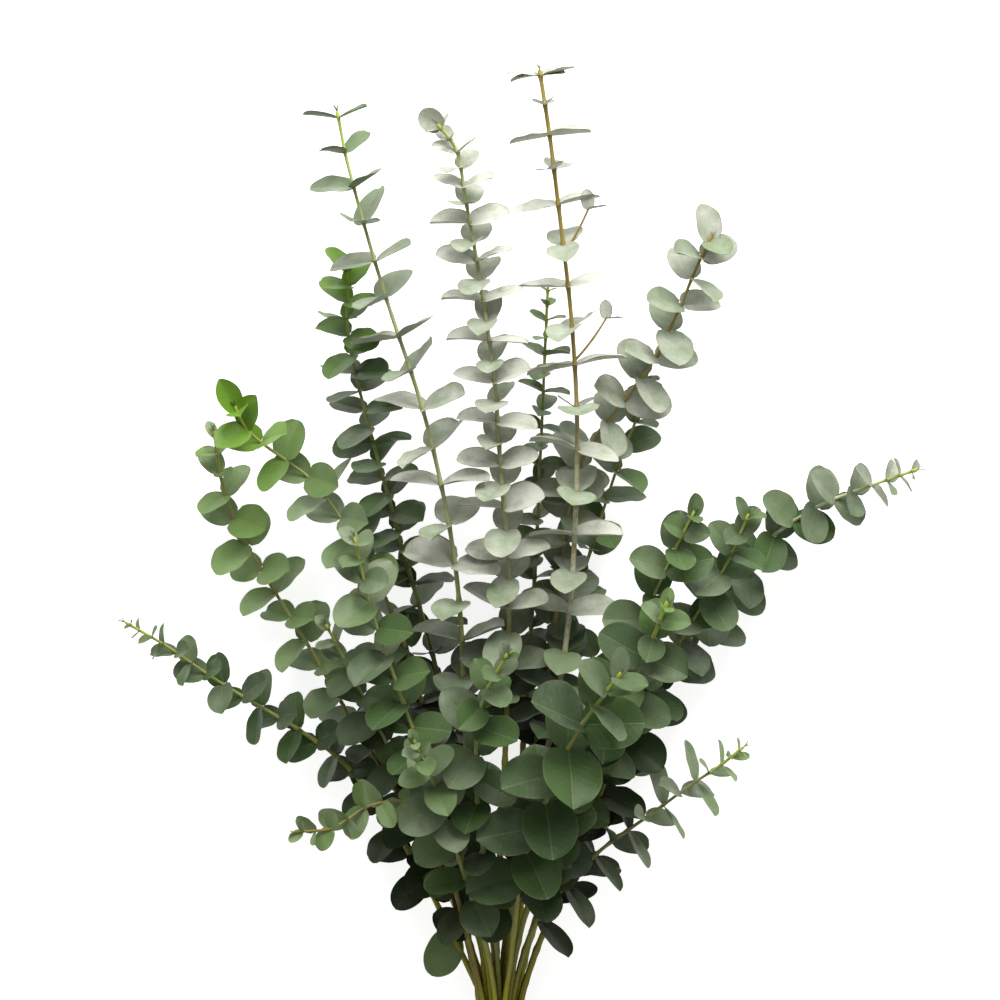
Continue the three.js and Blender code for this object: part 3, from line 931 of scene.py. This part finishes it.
@dataclass
class Thicket:
    """The branches already in place, which a new leaf should not grow through."""

    pattern: LeafPattern
    trees: list[BVHTree] = field(default_factory=list)

    def add(self, parts: Sequence[Part]) -> None:
        """Take in the stems and leaves of one finished branch."""
        _, points, faces = joined(parts)
        self.trees.append(BVHTree.FromPolygons(points.tolist(), faces))

    def cuts(self, points: np.ndarray) -> int:
        """Return how many pairs of faces cross where a leaf of these points would stand."""
        leaf = BVHTree.FromPolygons(points.tolist(), self.pattern.faces)
        return sum(len(leaf.overlap(tree)) for tree in self.trees)


@dataclass
class Branch:
    """One branch: a round stem with swollen joints, its leaves and its bud."""

    dress: BranchDress
    pattern: LeafPattern
    seed: int
    thicket: Thicket
    sides: int = 12
    ring_step: float = 3.2 * MM
    closest_rings: float = 0.25 * MM
    foot_girth: Span = (1.55, 0.55)
    swell: float = 0.34
    swell_reach: float = 1.5
    swell_ring: float = 1.2 * MM
    swell_room: float = 0.002
    old_joint: float = 27.0 * MM
    old_swell: float = 0.55
    old_play: Span = (0.85, 1.15)
    bare_end: float = 0.012
    long_wave: Span = (0.03, 210.0)
    short_wave: Span = (0.02, 555.0)
    oval: Span = (0.05, 22.0)
    bark_run: float = 9.0
    tip_dome: float = 0.9
    bevel: float = 0.82
    sawn_edge: float = 0.45
    lowest: float = 0.02 * MM
    bundle: float = 0.20
    bundle_full: float = 0.6
    painted_shade_side: Span = (0.92, 0.55)
    shoot_tan: float = 1.6
    shoot_joint: Span = (0.55, 0.5)
    growth_step: float = 0.004
    bud_length: float = 5.5 * MM
    bud_play: Span = (0.8, 1.2)
    bud_width: float = 0.55
    bud_spread: float = 0.32
    bud_depth: float = 0.4 * MM
    bud_root: float = 0.5 * MM
    steepness: Span = (0.25, 0.85)
    steep_painted_light: Span = (1.22, 0.62)
    tone_play: tuple[Span, Span, Span] = ((0, 0.07), (-0.03, 0.06), (0, 0.18))
    unrest: tuple[float, float, float] = (5.0, 4.5, 8.0)
    length_play: Span = (0.94, 1.06)
    width_play: Span = (0.91, 1.06)
    tries: int = 16
    wilder_each: float = 0.25
    smaller_each: float = 0.025
    painted_shade_height: Span = (0.108, 0.045)
    painted_shade_level: Span = (0.06, -0.10)
    painted_shade_beside: Span = (0.13, 0.05)
    tip_reach: float = 0.05
    young_point: float = 0.4
    point_play: Span = (-0.12, 0.15)

    def __post_init__(self) -> None:
        """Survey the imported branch."""
        self.luck = random.Random(self.seed)
        self.olive = self.luck.random()
        self.survey = BranchSurvey(self.dress.node)
        self.stem = self.survey.stem
        share = self.stem.marks / self.stem.length
        thick, taper = self.foot_girth
        self.stem.radii = np.maximum(self.stem.radii, self.dress.girth * (thick - taper * share))
        self.name = self.dress.node.replace("_branch", "")

    def joints(self) -> list[tuple[float, float]]:
        """Return the swellings of the stem: leafy joints and old bare ones.

        Returns:
            Distance from the cut end, and strength, of each.
        """
        leafy = sorted({round((1.0 - blade.place) * self.stem.length, 5)
                        for blade in self.survey.blades})
        found = [(mark, 1.0) for mark in leafy]
        mark = leafy[0] - self.old_joint
        while mark > self.bare_end:
            found.append((mark, self.old_swell))
            mark -= self.old_joint * self.luck.uniform(*self.old_play)
        return found

    def tube(self, stem: Stem, joints: list[tuple[float, float]], cut: bool) -> Part:
        """Sweep a round stem.

        Args:
            stem: Its centre line.
            joints: Its swellings.
            cut: Whether its lower end is a sawn face.

        Returns:
            Points, faces, and the numbers stored on the points.
        """
        count = max(6, int(stem.length / self.ring_step))
        marks = np.unique(np.concatenate([
            np.linspace(0.0, stem.length, count + 1),
            *[[mark - self.swell_ring, mark, mark + self.swell_ring] for mark, _ in joints
              if self.swell_room < mark < stem.length - self.swell_room]]))
        marks = marks[np.insert(np.diff(marks) > self.closest_rings, 0, True)]
        centres, radii = stem.at(marks), stem.radius_at(marks)
        swell = np.zeros(len(marks))
        for mark, strength in joints:
            wide = self.swell_reach * float(stem.radius_at(np.array([mark]))[0])
            swell += strength * self.swell * np.exp(-(((marks - mark) / wide) ** 2))
        phase = self.luck.uniform(*ANY_PHASE)
        (deep, often), (shallow, oftener) = self.long_wave, self.short_wave
        radii = radii * (1.0 + swell + deep * np.sin(marks * often + phase)
                         + shallow * np.sin(marks * oftener))
        directions = np.gradient(centres, axis=0)
        angle = np.linspace(0, 2 * math.pi, self.sides, endpoint=False)
        side = np.array([1.0, 0.0, 0.0])
        rings, bark, gap = [], [], []
        for centre, radius, direction, mark in zip(centres, radii, directions, marks):
            direction = unit(direction)
            side = unit(side - direction * side.dot(direction))
            up = np.cross(side, direction)
            oval = 1.0 + self.oval[0] * np.cos(2 * angle + mark * self.oval[1] + phase)
            rings.append(centre + radius * oval[:, None] * (
                np.cos(angle)[:, None] * side + np.sin(angle)[:, None] * up))
            run = np.full(self.sides, mark * self.bark_run + phase)
            bark.append(np.stack([np.cos(angle), np.sin(angle), run], 1))
            # Painted shade near the cut end, on the sides of the stem that don't face up.
            upward = np.cos(angle) * side[2] + np.sin(angle) * up[2]
            bundle_shade = ease(self.bundle, self.bundle_full * self.bundle, mark) if cut else 0.0
            level, fade = self.painted_shade_side
            gap.append(bundle_shade * np.clip((level - upward) / fade, 0.0, 1.0))
        rings.append(np.array([centres[-1] + unit(directions[-1]) * radii[-1] * self.tip_dome]))
        bark.append(np.array([[0.0, 0.0, marks[-1] * self.bark_run]]))
        rings.append(centres[0] + (rings[0] - centres[0]) * self.bevel)
        rings.append(np.array([centres[0]]))
        bark += [bark[0], bark[0][:1]]
        points = np.concatenate(rings)
        points[:, 2] = np.maximum(points[:, 2], self.lowest)

        def spread(values: np.ndarray, tip: float, end: float) -> np.ndarray:
            """Repeat one value for each ring on all points, with others for tip and end."""
            return np.concatenate([np.repeat(values, self.sides), [tip],
                                   np.full(self.sides + 1, end)])

        whole = self.stem.length
        offset = 0.0 if cut else whole - stem.length
        young = 1.0 - (marks + offset) / whole
        age = spread(young, young[-1], young[0])
        sawn = np.zeros(len(points))
        if cut:
            sawn[-1 - self.sides:-1] = self.sawn_edge
            sawn[-1] = 1.0
        ruddy = self.dress.tan * (1.0 if cut else self.shoot_tan)
        stored = {"age": age, "cut": sawn, "bark": np.concatenate(bark),
                  "joint": spread(np.clip(swell / self.swell, 0, 1) ** 2, 0.0, 0.0),
                  "tan": np.full(len(points), ruddy),
                  "olive": np.full(len(points), self.olive),
                  "gap": np.concatenate([*gap, np.zeros(self.sides + 2)]),
                  "wax": self.dress.stem_wax * np.interp(age, self.dress.waxed,
                                                         (0.0, 1.0, 1.0, 0.0))}
        return points, self._tube_faces(len(marks)), stored

    def _tube_faces(self, rings: int) -> list[list[int]]:
        """Return the faces of a tube with a domed tip and a bevelled lower end.

        Args:
            rings: How many rings of points it has.

        Returns:
            Point numbers of each face.
        """
        n, cap = self.sides, rings * self.sides + 1
        faces: list[list[int]] = []
        for i in range(rings - 1):
            for k in range(n):
                a, b = i * n + k, i * n + (k + 1) % n
                faces.append([a, a + n, b + n, b])
        top = (rings - 1) * n
        for k in range(n):
            after = (k + 1) % n
            faces.append([top + k, rings * n, top + after])
            faces.append([k, after, cap + after, cap + k])
            faces.append([cap + k, cap + after, cap + n])
        return faces

    def shoots(self) -> list[tuple[Stem, list[Blade]]]:
        """Shape the side shoots.

        Returns:
            The stem and the small leaves of each.
        """
        made = []
        for shoot in self.dress.shoots:
            mark = np.array([(1.0 - shoot.place) * self.stem.length])
            start = self.stem.at(mark)[0]
            growth = unit(self.stem.at(mark + self.growth_step)[0] - start)
            outward = unit(np.cross(growth, UP))
            heading = unit(growth * math.cos(shoot.lean) + outward * math.sin(shoot.lean))
            share = np.linspace(0.0, 1.0, shoot.rings)[:, None]
            line = (start + share * shoot.length * heading
                    + share**2 * shoot.bend * shoot.length * growth)
            stem = Stem(line, np.linspace(*shoot.half_thickness_mm, shoot.rings) * MM)
            blades = []
            for along, face, size in ((growth + 0.15 * UP, UP, 1.0),
                                      (heading - 0.7 * growth + 0.1 * UP, growth, 0.95)):
                length = shoot.leaf * size
                blades.append(self._blade(stem.points[-1], along, face, length,
                                          length * shoot.leaf_width,
                                          stem_radius=shoot.leaf_root))
            made.append((stem, blades))
        return made

    def _blade(self, root: np.ndarray, along: np.ndarray, face: np.ndarray, length: float,
               width: float, **others: float | bool) -> Blade:
        """Return a leaf with its face turned square to its length.

        Args:
            root: Where it stands.
            along: Where it points.
            face: Where its upper side looks, roughly.
            length: Its length.
            width: Its width.
            **others: Other values of the leaf.

        Returns:
            The leaf.
        """
        along = unit(along)
        face = unit(face - along * face.dot(along))
        return Blade(root, along, np.cross(face, along), face, length, width, **others)

    def single_leaves(self) -> list[Blade]:
        """Shape the leaves that stand outside the pairs.

        Returns:
            The leaves, or none.
        """
        made = []
        for leaf in self.dress.lone:
            mark = np.array([(1.0 - leaf.place) * self.stem.length])
            made.append(self._blade(self.stem.at(mark)[0], np.array(leaf.along),
                                    np.array(leaf.face), leaf.length, leaf.width,
                                    place=leaf.tone, inside=False))
        return made

    def bud(self) -> list[Blade]:
        """Shape the two youngest leaves, still closed around the bud.

        Returns:
            The two leaves.
        """
        tip = self.stem.points[-1]
        before = self.stem.at(np.array([self.stem.length - self.growth_step]))[0]
        growth = unit(tip - before)
        outward = unit(np.cross(growth, np.array([0.3, 0.1, 1.0])))
        blades = []
        for hand in (-1.0, 1.0):
            size = self.bud_length * self.luck.uniform(*self.bud_play)
            blades.append(self._blade(tip - growth * self.bud_depth,
                                      growth + self.bud_spread * hand * outward, -hand * outward,
                                      size, size * self.bud_width, stem_radius=self.bud_root))
        return blades

    def tone(self, blade: Blade) -> np.ndarray:
        """Return wax, freshness and depth of one leaf, painted light and shade included.

        Args:
            blade: The leaf.

        Returns:
            Three numbers from 0 to 1.
        """
        dress = self.dress
        # Partly the leaves' own colour and partly painted light and shade: paler tips where light
        # falls, deeper feet where the bunch shades itself.
        if blade.place < dress.turn:
            mixed = dress.tip.towards(dress.body, ease(0.0, dress.turn, blade.place))
        else:
            mixed = dress.body.towards(dress.foot, ease(dress.turn, dress.settled, blade.place))
        # Painted light and shade: flat-lying leaves get more pale wax and steep ones less, by how
        # light falls on them.
        steep = ease(*self.steepness, abs(float(blade.along[2])))
        mixed[0] *= blend(*self.steep_painted_light, steep)
        shift = np.array([self.luck.gauss(*play) for play in self.tone_play])
        return np.clip(mixed + shift, 0.0, 1.0)

    def settle(self, blade: Blade, attempt: int) -> Blade:
        """Return the leaf turned and sized a little differently, as no two are alike.

        Args:
            blade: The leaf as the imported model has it.
            attempt: How often it was tried before; a later try is turned more and smaller.

        Returns:
            The leaf as it is built.
        """
        wilder, smaller = 1.0 + self.wilder_each * attempt, 1.0 - self.smaller_each * attempt
        yaw, pitch, roll = (math.radians(self.luck.gauss(0.0, spread * wilder))
                            for spread in self.unrest)
        mark = (1.0 - blade.place) * self.stem.length
        before, after = (self.stem.at(np.array([mark + step]))[0] for step in (-2 * MM, 2 * MM))
        flat = blend(*self.dress.flat, ease(0.0, self.dress.turn, blade.place))
        face = unit(blade.face + flat * unit(after - before))
        along = unit(blade.along - face * face.dot(blade.along) + yaw * blade.across
                     + pitch * blade.face)
        across = unit(blade.across - face * face.dot(blade.across)) + roll * face
        across = unit(across - along * across.dot(along))
        scale = self.dress.leaf_scale
        return replace(blade, along=along, across=across, face=np.cross(along, across),
                       length=blade.length * scale * smaller * self.luck.uniform(*self.length_play),
                       width=blade.width * scale * smaller * self.luck.uniform(*self.width_play))

    def unfold(self, blade: Blade, point: float) -> tuple[np.ndarray, dict[str, np.ndarray]]:
        """Grow one leaf of a pair, turned so that it passes its neighbours.

        Args:
            blade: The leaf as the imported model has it.
            point: How pointed its tip is.

        Returns:
            Its points, and the numbers stored on them.
        """
        best, fewest = None, math.inf
        for attempt in range(self.tries):
            grown = self.pattern.grow(self.settle(blade, attempt), point, self.luck)
            cuts = self.thicket.cuts(grown[0])
            if cuts < fewest:
                best, fewest = grown, cuts
            if cuts == 0:
                break
        return best

    def inner(self, blade: Blade) -> float:
        """Tell how deep inside the foot of the bunch a leaf sits, for the painted shade laid on it
        there.

        Args:
            blade: The leaf.

        Returns:
            0 for outside, up to 1 for deep inside.
        """
        middle = blade.root + blade.along * blade.length / 2
        beside = abs(float(middle[0]) - float(self.stem.points[0][0]))
        low = ease(*self.painted_shade_height, float(middle[2])) * ease(*self.painted_shade_level, float(middle[1]))
        return blade.inside * (low * ease(*self.painted_shade_beside, beside))

    def build(self, leaf: bpy.types.Material, bark: bpy.types.Material) -> None:
        """Make the stem piece and the leaf piece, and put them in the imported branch's place.

        Args:
            leaf: Leaf material.
            bark: Bark material.
        """
        shoots = self.shoots()
        parts = [self.tube(self.stem, self.joints(), True)]
        place, strength = self.shoot_joint
        parts += [self.tube(stem, [(place * stem.length, strength)], False) for stem, _ in shoots]
        self._place(f"{self.name}_stem", parts, bark, [])

        grown = []
        paired = self.survey.blades
        top = min(blade.place for blade in paired)
        young = [blade for _, blades in shoots for blade in blades]
        for blade in [*paired, *self.single_leaves(), *self.bud(), *young]:
            near_tip = self.young_point
            if blade.place:
                near_tip = ease(top + self.tip_reach, top, blade.place)
            point = (blend(self.dress.point, self.dress.tip_point, near_tip)
                     + self.luck.uniform(*self.point_play))
            point = min(max(point, 0.0), 1.0)
            if len(grown) < len(paired):
                points, marks = self.unfold(blade, point)
            else:
                points, marks = self.pattern.grow(blade, point, self.luck)
            for key, value in zip(("wax", "fresh", "shade"), self.tone(blade)):
                marks[key] = np.full(len(points), value)
            # How much painted shade the leaf gets for sitting low inside the bunch.
            marks["inner"] = np.full(len(points), self.inner(blade))
            grown.append((points, self.pattern.faces, marks))
        self._place(f"{self.name}_leaves", grown, leaf, self.pattern.edges)
        self.thicket.add(parts + grown)
        LOG.info("%s: %d leaves on a stem of %.0f mm", self.name, len(grown),
                 self.stem.length / MM)

    def _place(self, name: str, parts: Sequence[Part], material: bpy.types.Material,
               edges: list[tuple[int, int]]) -> None:
        """Join the parts of one piece, and put it on the frame.

        Args:
            name: The piece's name.
            parts: Points, faces and stored numbers of each part.
            material: Its finish.
            edges: Crisp edges of each part.
        """
        starts, points, faces = joined(parts)
        stored = {key: np.concatenate([part[2][key] for part in parts]) for key in parts[0][2]}
        sharp = [(a + start, b + start) for start in starts[:-1] for a, b in edges]
        piece = make_object(name, points, faces, material, stored, sharp)
        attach(piece, "root")
        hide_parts(self.dress.node)


@dataclass
class RubberBand:
    """Tan rubber band wound several times round the stems."""

    node: str = "elastic_band"
    turns: int = 5
    strand_width: float = 1.45 * MM
    strand_height: float = 0.95 * MM
    gap: float = 0.12 * MM
    around: int = 96
    seed: int = 41
    held: tuple[float, float, int] = (0.04, 0.16, 240)
    stem_corners: int = 24
    stretch: float = 1.06
    pitch: float = 1.08
    sway: Span = (0.15, 0.35)
    bulge: float = 0.06 * MM
    crossing_sway: Span = (2.1 * MM, 0.8)
    crossing_lift: float = 1.02
    section: tuple[Span, ...] = ((-0.5, -0.32), (-0.38, -0.5), (0.38, -0.5), (0.5, -0.32),
                                 (0.5, 0.32), (0.38, 0.5), (-0.38, 0.5), (-0.5, 0.32))

    def outline(self, branches: list[Branch], level: float) -> np.ndarray:
        """Return the taut line round all the stems at one level.

        Args:
            branches: The branches that are held.
            level: Where the band sits along Y.

        Returns:
            Points of the line, as X and Z.
        """
        spots = []
        marks = np.linspace(*self.held)
        for branch in branches:
            line = branch.stem.at(marks)
            here = int(np.argmin(np.abs(line[:, 1] - level)))
            radius = float(branch.stem.radius_at(marks[here:here + 1])[0]) * self.stretch
            for angle in np.linspace(0, 2 * math.pi, self.stem_corners, endpoint=False):
                spots.append((line[here, 0] + radius * math.cos(angle),
                              line[here, 2] + radius * math.sin(angle)))
        spots.sort()

        def half(ordered: list[Span]) -> list[Span]:
            """Find one side of the hull.

            Args:
                ordered: All spots, sorted one way or the other.

            Returns:
                The spots on that side, without the last.
            """
            kept: list[Span] = []
            for p in ordered:
                while len(kept) > 1 and ((kept[-1][0] - kept[-2][0]) * (p[1] - kept[-2][1])
                                         - (kept[-1][1] - kept[-2][1]) * (p[0] - kept[-2][0])) <= 0:
                    kept.pop()
                kept.append(p)
            return kept[:-1]

        hull = np.array(half(spots) + half(spots[::-1]))
        closed = np.vstack([hull, hull[:1]])
        walked = np.concatenate([[0], np.cumsum(np.linalg.norm(np.diff(closed, axis=0), axis=1))])
        even = np.linspace(0, walked[-1], self.around, endpoint=False)
        return np.stack([np.interp(even, walked, closed[:, k]) for k in (0, 1)], 1)

    def build(self, branches: list[Branch], material: bpy.types.Material) -> None:
        """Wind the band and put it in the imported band's place.

        Args:
            branches: The branches that are held.
            material: Its finish.
        """
        low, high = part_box(self.node)
        level = (low.y + high.y) / 2
        line = self.outline(branches, level)
        ahead, behind = np.roll(line, -1, axis=0), np.roll(line, 1, axis=0)
        tangent = (ahead - behind) / np.linalg.norm(ahead - behind, axis=1)[:, None]
        outward = np.stack([tangent[:, 1], -tangent[:, 0]], 1)
        if ((line - line.mean(axis=0)) * outward).sum() < 0:
            outward = -outward
        turn = np.linspace(0, 2 * math.pi, self.around, endpoint=False)
        luck = random.Random(self.seed)
        points, faces = [], []
        n = len(self.section)
        for strand in range(self.turns):
            shift = (strand - (self.turns - 2) / 2) * self.strand_width * self.pitch
            sway = luck.uniform(*self.sway) * MM
            y = level + shift + sway * np.sin(turn + luck.uniform(*ANY_PHASE))
            lift = self.gap + self.strand_height / 2 + self.bulge * np.sin(3 * turn + strand)
            if strand == self.turns - 1:
                # The last turn crosses over the others.
                reach, phase = self.crossing_sway
                y = level + reach * np.sin(turn + phase)
                lift = lift + self.strand_height * self.crossing_lift
            first = strand * self.around * n
            rings = []
            for a, b in self.section:
                centre = line + outward * (lift + b * self.strand_height)[:, None]
                rings.append(np.stack([centre[:, 0], y + a * self.strand_width, centre[:, 1]], 1))
            points.append(np.stack(rings, 1).reshape(-1, 3))
            for i in range(self.around):
                here, onward = first + i * n, first + ((i + 1) % self.around) * n
                for k in range(n):
                    after = (k + 1) % n
                    faces.append([here + k, onward + k, onward + after, here + after])
        piece = make_object("rubber_band_turns", np.concatenate(points), faces, material, {})
        mesh = bmesh.new()
        mesh.from_mesh(piece.data)
        bmesh.ops.recalc_face_normals(mesh, faces=mesh.faces)
        mesh.to_mesh(piece.data)
        mesh.free()
        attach(piece, "root")
        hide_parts(self.node)
        LOG.info("rubber band: %d turns", self.turns)


# ---- Studio ----


@dataclass(frozen=True)
class Lamp:
    """A soft square lamp: its offset from the middle of the view, its power and its side."""

    name: str
    offset: tuple[float, float, float]
    power: float
    colour: Colour
    size: float = 0.9


@dataclass
class Studio:
    """Pale table, soft light and a camera that looks straight down on the bunch."""

    distance: float = 1.90
    view_width: float = 0.700
    middle_above_band: float = 0.378
    ambient: float = 0.47
    room: Colour = (1.0, 0.995, 0.95)
    table: float = 14.0
    table_sides: int = 96
    sensor: float = 36.0
    far: float = 60.0
    lamps: tuple[Lamp, ...] = (
        Lamp("key_light", (0.35, 1.10, 0.68), 27.0, (1.0, 0.99, 0.98)),
        Lamp("back_light", (-0.50, 1.05, 1.10), 10.0, (1.0, 1.0, 1.0)))

    def build(self) -> None:
        """Lay the table, hang the lights and place the camera."""
        low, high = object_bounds()
        band_low, band_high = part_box("elastic_band")
        aim = Vector(((band_low.x + band_high.x) / 2,
                      (band_low.y + band_high.y) / 2 + self.middle_above_band,
                      (low[2] + high[2]) / 2))
        self._table()
        self._world()
        for lamp in self.lamps:
            self._hang(lamp, aim)
        self._camera(aim)
        scene = bpy.context.scene
        scene.view_settings.view_transform = "Standard"
        scene.view_settings.look = "None"
        LOG.info("studio: camera %.2f m above the bunch", self.distance)

    def _table(self) -> None:
        """Lay a wide round table top under the bunch."""
        mesh = bmesh.new()
        bmesh.ops.create_circle(mesh, cap_ends=True, segments=self.table_sides,
                                radius=self.table)
        data = bpy.data.meshes.new("table_top")
        mesh.to_mesh(data)
        mesh.free()
        data.materials.append(TableFinish().material())
        table = bpy.data.objects.new("table_top", data)
        bpy.context.scene.collection.objects.link(table)
        table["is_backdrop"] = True

    def _world(self) -> None:
        """Light the room evenly."""
        world = bpy.data.worlds.new("soft_room")
        world.use_nodes = True
        background = world.node_tree.nodes["Background"]
        background.inputs["Color"].default_value = (*self.room, 1.0)
        background.inputs["Strength"].default_value = self.ambient
        bpy.context.scene.world = world

    def _hang(self, lamp: Lamp, aim: Vector) -> None:
        """Hang one soft lamp and point it at the bunch.

        Args:
            lamp: The lamp.
            aim: Where it points.
        """
        data = bpy.data.lights.new(lamp.name, "AREA")
        data.size, data.energy, data.color = lamp.size, lamp.power, lamp.colour
        hung = bpy.data.objects.new(lamp.name, data)
        hung.location = aim + Vector(lamp.offset)
        hung.rotation_euler = (aim - hung.location).to_track_quat("-Z", "Y").to_euler()
        bpy.context.scene.collection.objects.link(hung)

    def _camera(self, aim: Vector) -> None:
        """Place the camera above the bunch.

        Args:
            aim: Middle of the view.
        """
        data = bpy.data.cameras.new("view_camera")
        data.sensor_width = self.sensor
        data.lens = self.sensor * self.distance / self.view_width
        data.clip_end = self.far
        camera = bpy.data.objects.new("view_camera", data)
        camera.location = aim + Vector((0.0, 0.0, self.distance))
        bpy.context.scene.collection.objects.link(camera)
        bpy.context.scene.camera = camera


DRESSES = (
    BranchDress("front_right_big_leaved_branch", Tone.MID, Tone.SEA, Tone.DEEP, turn=0.25,
                settled=0.70, tan=0.1, girth=1.3 * MM, point=0.02, tip_point=0.1),
    BranchDress("front_centre_branch", Tone.MID, Tone.SEA, Tone.DEEP, turn=0.2, settled=0.6,
                tan=0.0, stem_wax=0.3, leaf_scale=0.90, girth=1.2 * MM),
    BranchDress("front_left_branch", Tone.SAGE, Tone.MID, Tone.DEEP, turn=0.22, tan=0.1),
    BranchDress("centre_tallest_branch", Tone.SILVER, Tone.SILVER, Tone.MID, turn=0.42,
                settled=0.57, tan=0.9, stem_wax=0.85, waxed=(0.26, 0.40, 0.72, 0.82),
                girth=1.35 * MM, flat=(0.15, 0.15),
                shoots=(SideShoot(place=0.165, length=0.030, lean=0.75, leaf=0.014),
                        SideShoot(place=0.262, length=0.032, lean=0.85, leaf=0.013)),
                lone=(LoneLeaf(place=0.004, along=(-0.92, -0.20, 0.20), length=0.022, width=0.012,
                               face=(0.0, 1.0, 0.35), tone=0.50),
                      LoneLeaf(place=0.004, along=(0.95, 0.12, -0.10), length=0.018, width=0.012,
                               face=(0.0, 1.0, 0.55), tone=0.49))),
    BranchDress("centre_left_tall_branch", Tone.SILVER, Tone.SILVER, Tone.SEA, turn=0.40,
                settled=0.55, tan=0.35, stem_wax=0.5, waxed=(0.0, 0.02, 0.45, 0.65),
                girth=1.25 * MM,
                lone=(LoneLeaf(place=0.004, along=(-0.75, 0.55, 0.20), length=0.018, width=0.017,
                               face=(0.1, -0.3, 1.0), tone=0.47),)),
    BranchDress("left_tallest_branch", Tone.MID, Tone.SILVER, Tone.SEA, turn=0.38, settled=0.62,
                tan=0.05, stem_wax=0.35, girth=1.15 * MM, flat=(0.60, 0.40)),
    BranchDress("left_bright_tipped_branch", Tone.FRESH, Tone.SEA, Tone.DEEP, turn=0.15, tan=0.1),
    BranchDress("left_pointed_tip_branch", Tone.FRESH, Tone.SAGE, Tone.SEA, turn=0.18, tan=0.2,
                tip_point=0.9),
    BranchDress("left_pale_tipped_branch", Tone.LIME, Tone.LIME, Tone.MID, turn=0.15,
                settled=0.50, tan=0.6, girth=1.1 * MM),
    BranchDress("right_pale_branch", Tone.PEARL, Tone.PEARL, Tone.MID, turn=0.15, tan=0.9,
                girth=1.15 * MM),
    BranchDress("centre_thin_branch", Tone.LIME, Tone.MID, Tone.SEA, turn=0.15, tan=0.2),
    BranchDress("right_thin_branch", Tone.MID, Tone.SEA, Tone.DEEP, tan=0.3),
    BranchDress("far_right_long_branch", Tone.GREY, Tone.SEA, Tone.DEEP, turn=0.20, tan=0.1,
                stem_wax=0.9, girth=1.1 * MM, flat=(1.2, 0.0)),
    BranchDress("left_middle_branch", Tone.SAGE, Tone.SEA, Tone.DEEP, turn=0.3),
    BranchDress("left_centre_branch", Tone.SAGE, Tone.SEA, Tone.DEEP, turn=0.25),
    BranchDress("right_centre_branch", Tone.LIME, Tone.SEA, Tone.DEEP, turn=0.07, tan=0.0,
                girth=1.35 * MM),
    BranchDress("right_upper_branch", Tone.MID, Tone.SEA, Tone.DEEP, turn=0.25),
    BranchDress("right_middle_branch", Tone.MID, Tone.SEA, Tone.DEEP, turn=0.25),
    BranchDress("low_right_branch", Tone.LIME, Tone.SAGE, Tone.MID, turn=0.16, settled=0.80,
                tan=0.1, point=0.35, leaf_scale=1.42, flat=(0.5, 0.35)),
    BranchDress("far_left_low_branch", Tone.LIME, Tone.SEA, Tone.DEEP, turn=0.14, tan=0.1,
                stem_wax=0.1, flat=(0.8, 0.0),
                lone=(LoneLeaf(place=0.675, along=(-0.42, -0.88, 0.12), length=0.034, width=0.031,
                               face=(0.45, 0.0, 1.0), tone=0.06),)),
    BranchDress("low_left_side_branch", Tone.LIME, Tone.LIME, Tone.MID, turn=0.20, tan=0.9),
)
FIRST_SEED = 101
SEED_STEP = 7


def main() -> None:
    """Build every branch, the band and the studio, in that order."""
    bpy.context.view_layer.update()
    leaf, bark = LeafFinish().material(), StemFinish().material()
    pattern = LeafPattern()
    thicket = Thicket(pattern)
    branches = []
    for number, dress in enumerate(DRESSES):
        branch = Branch(dress, pattern, FIRST_SEED + SEED_STEP * number, thicket)
        branch.build(leaf, bark)
        branches.append(branch)
    RubberBand().build(branches, RubberFinish().material())
    Studio().build()


if __name__ == "__main__":
    logging.basicConfig(level=logging.INFO, format="%(name)s: %(message)s")
    main()
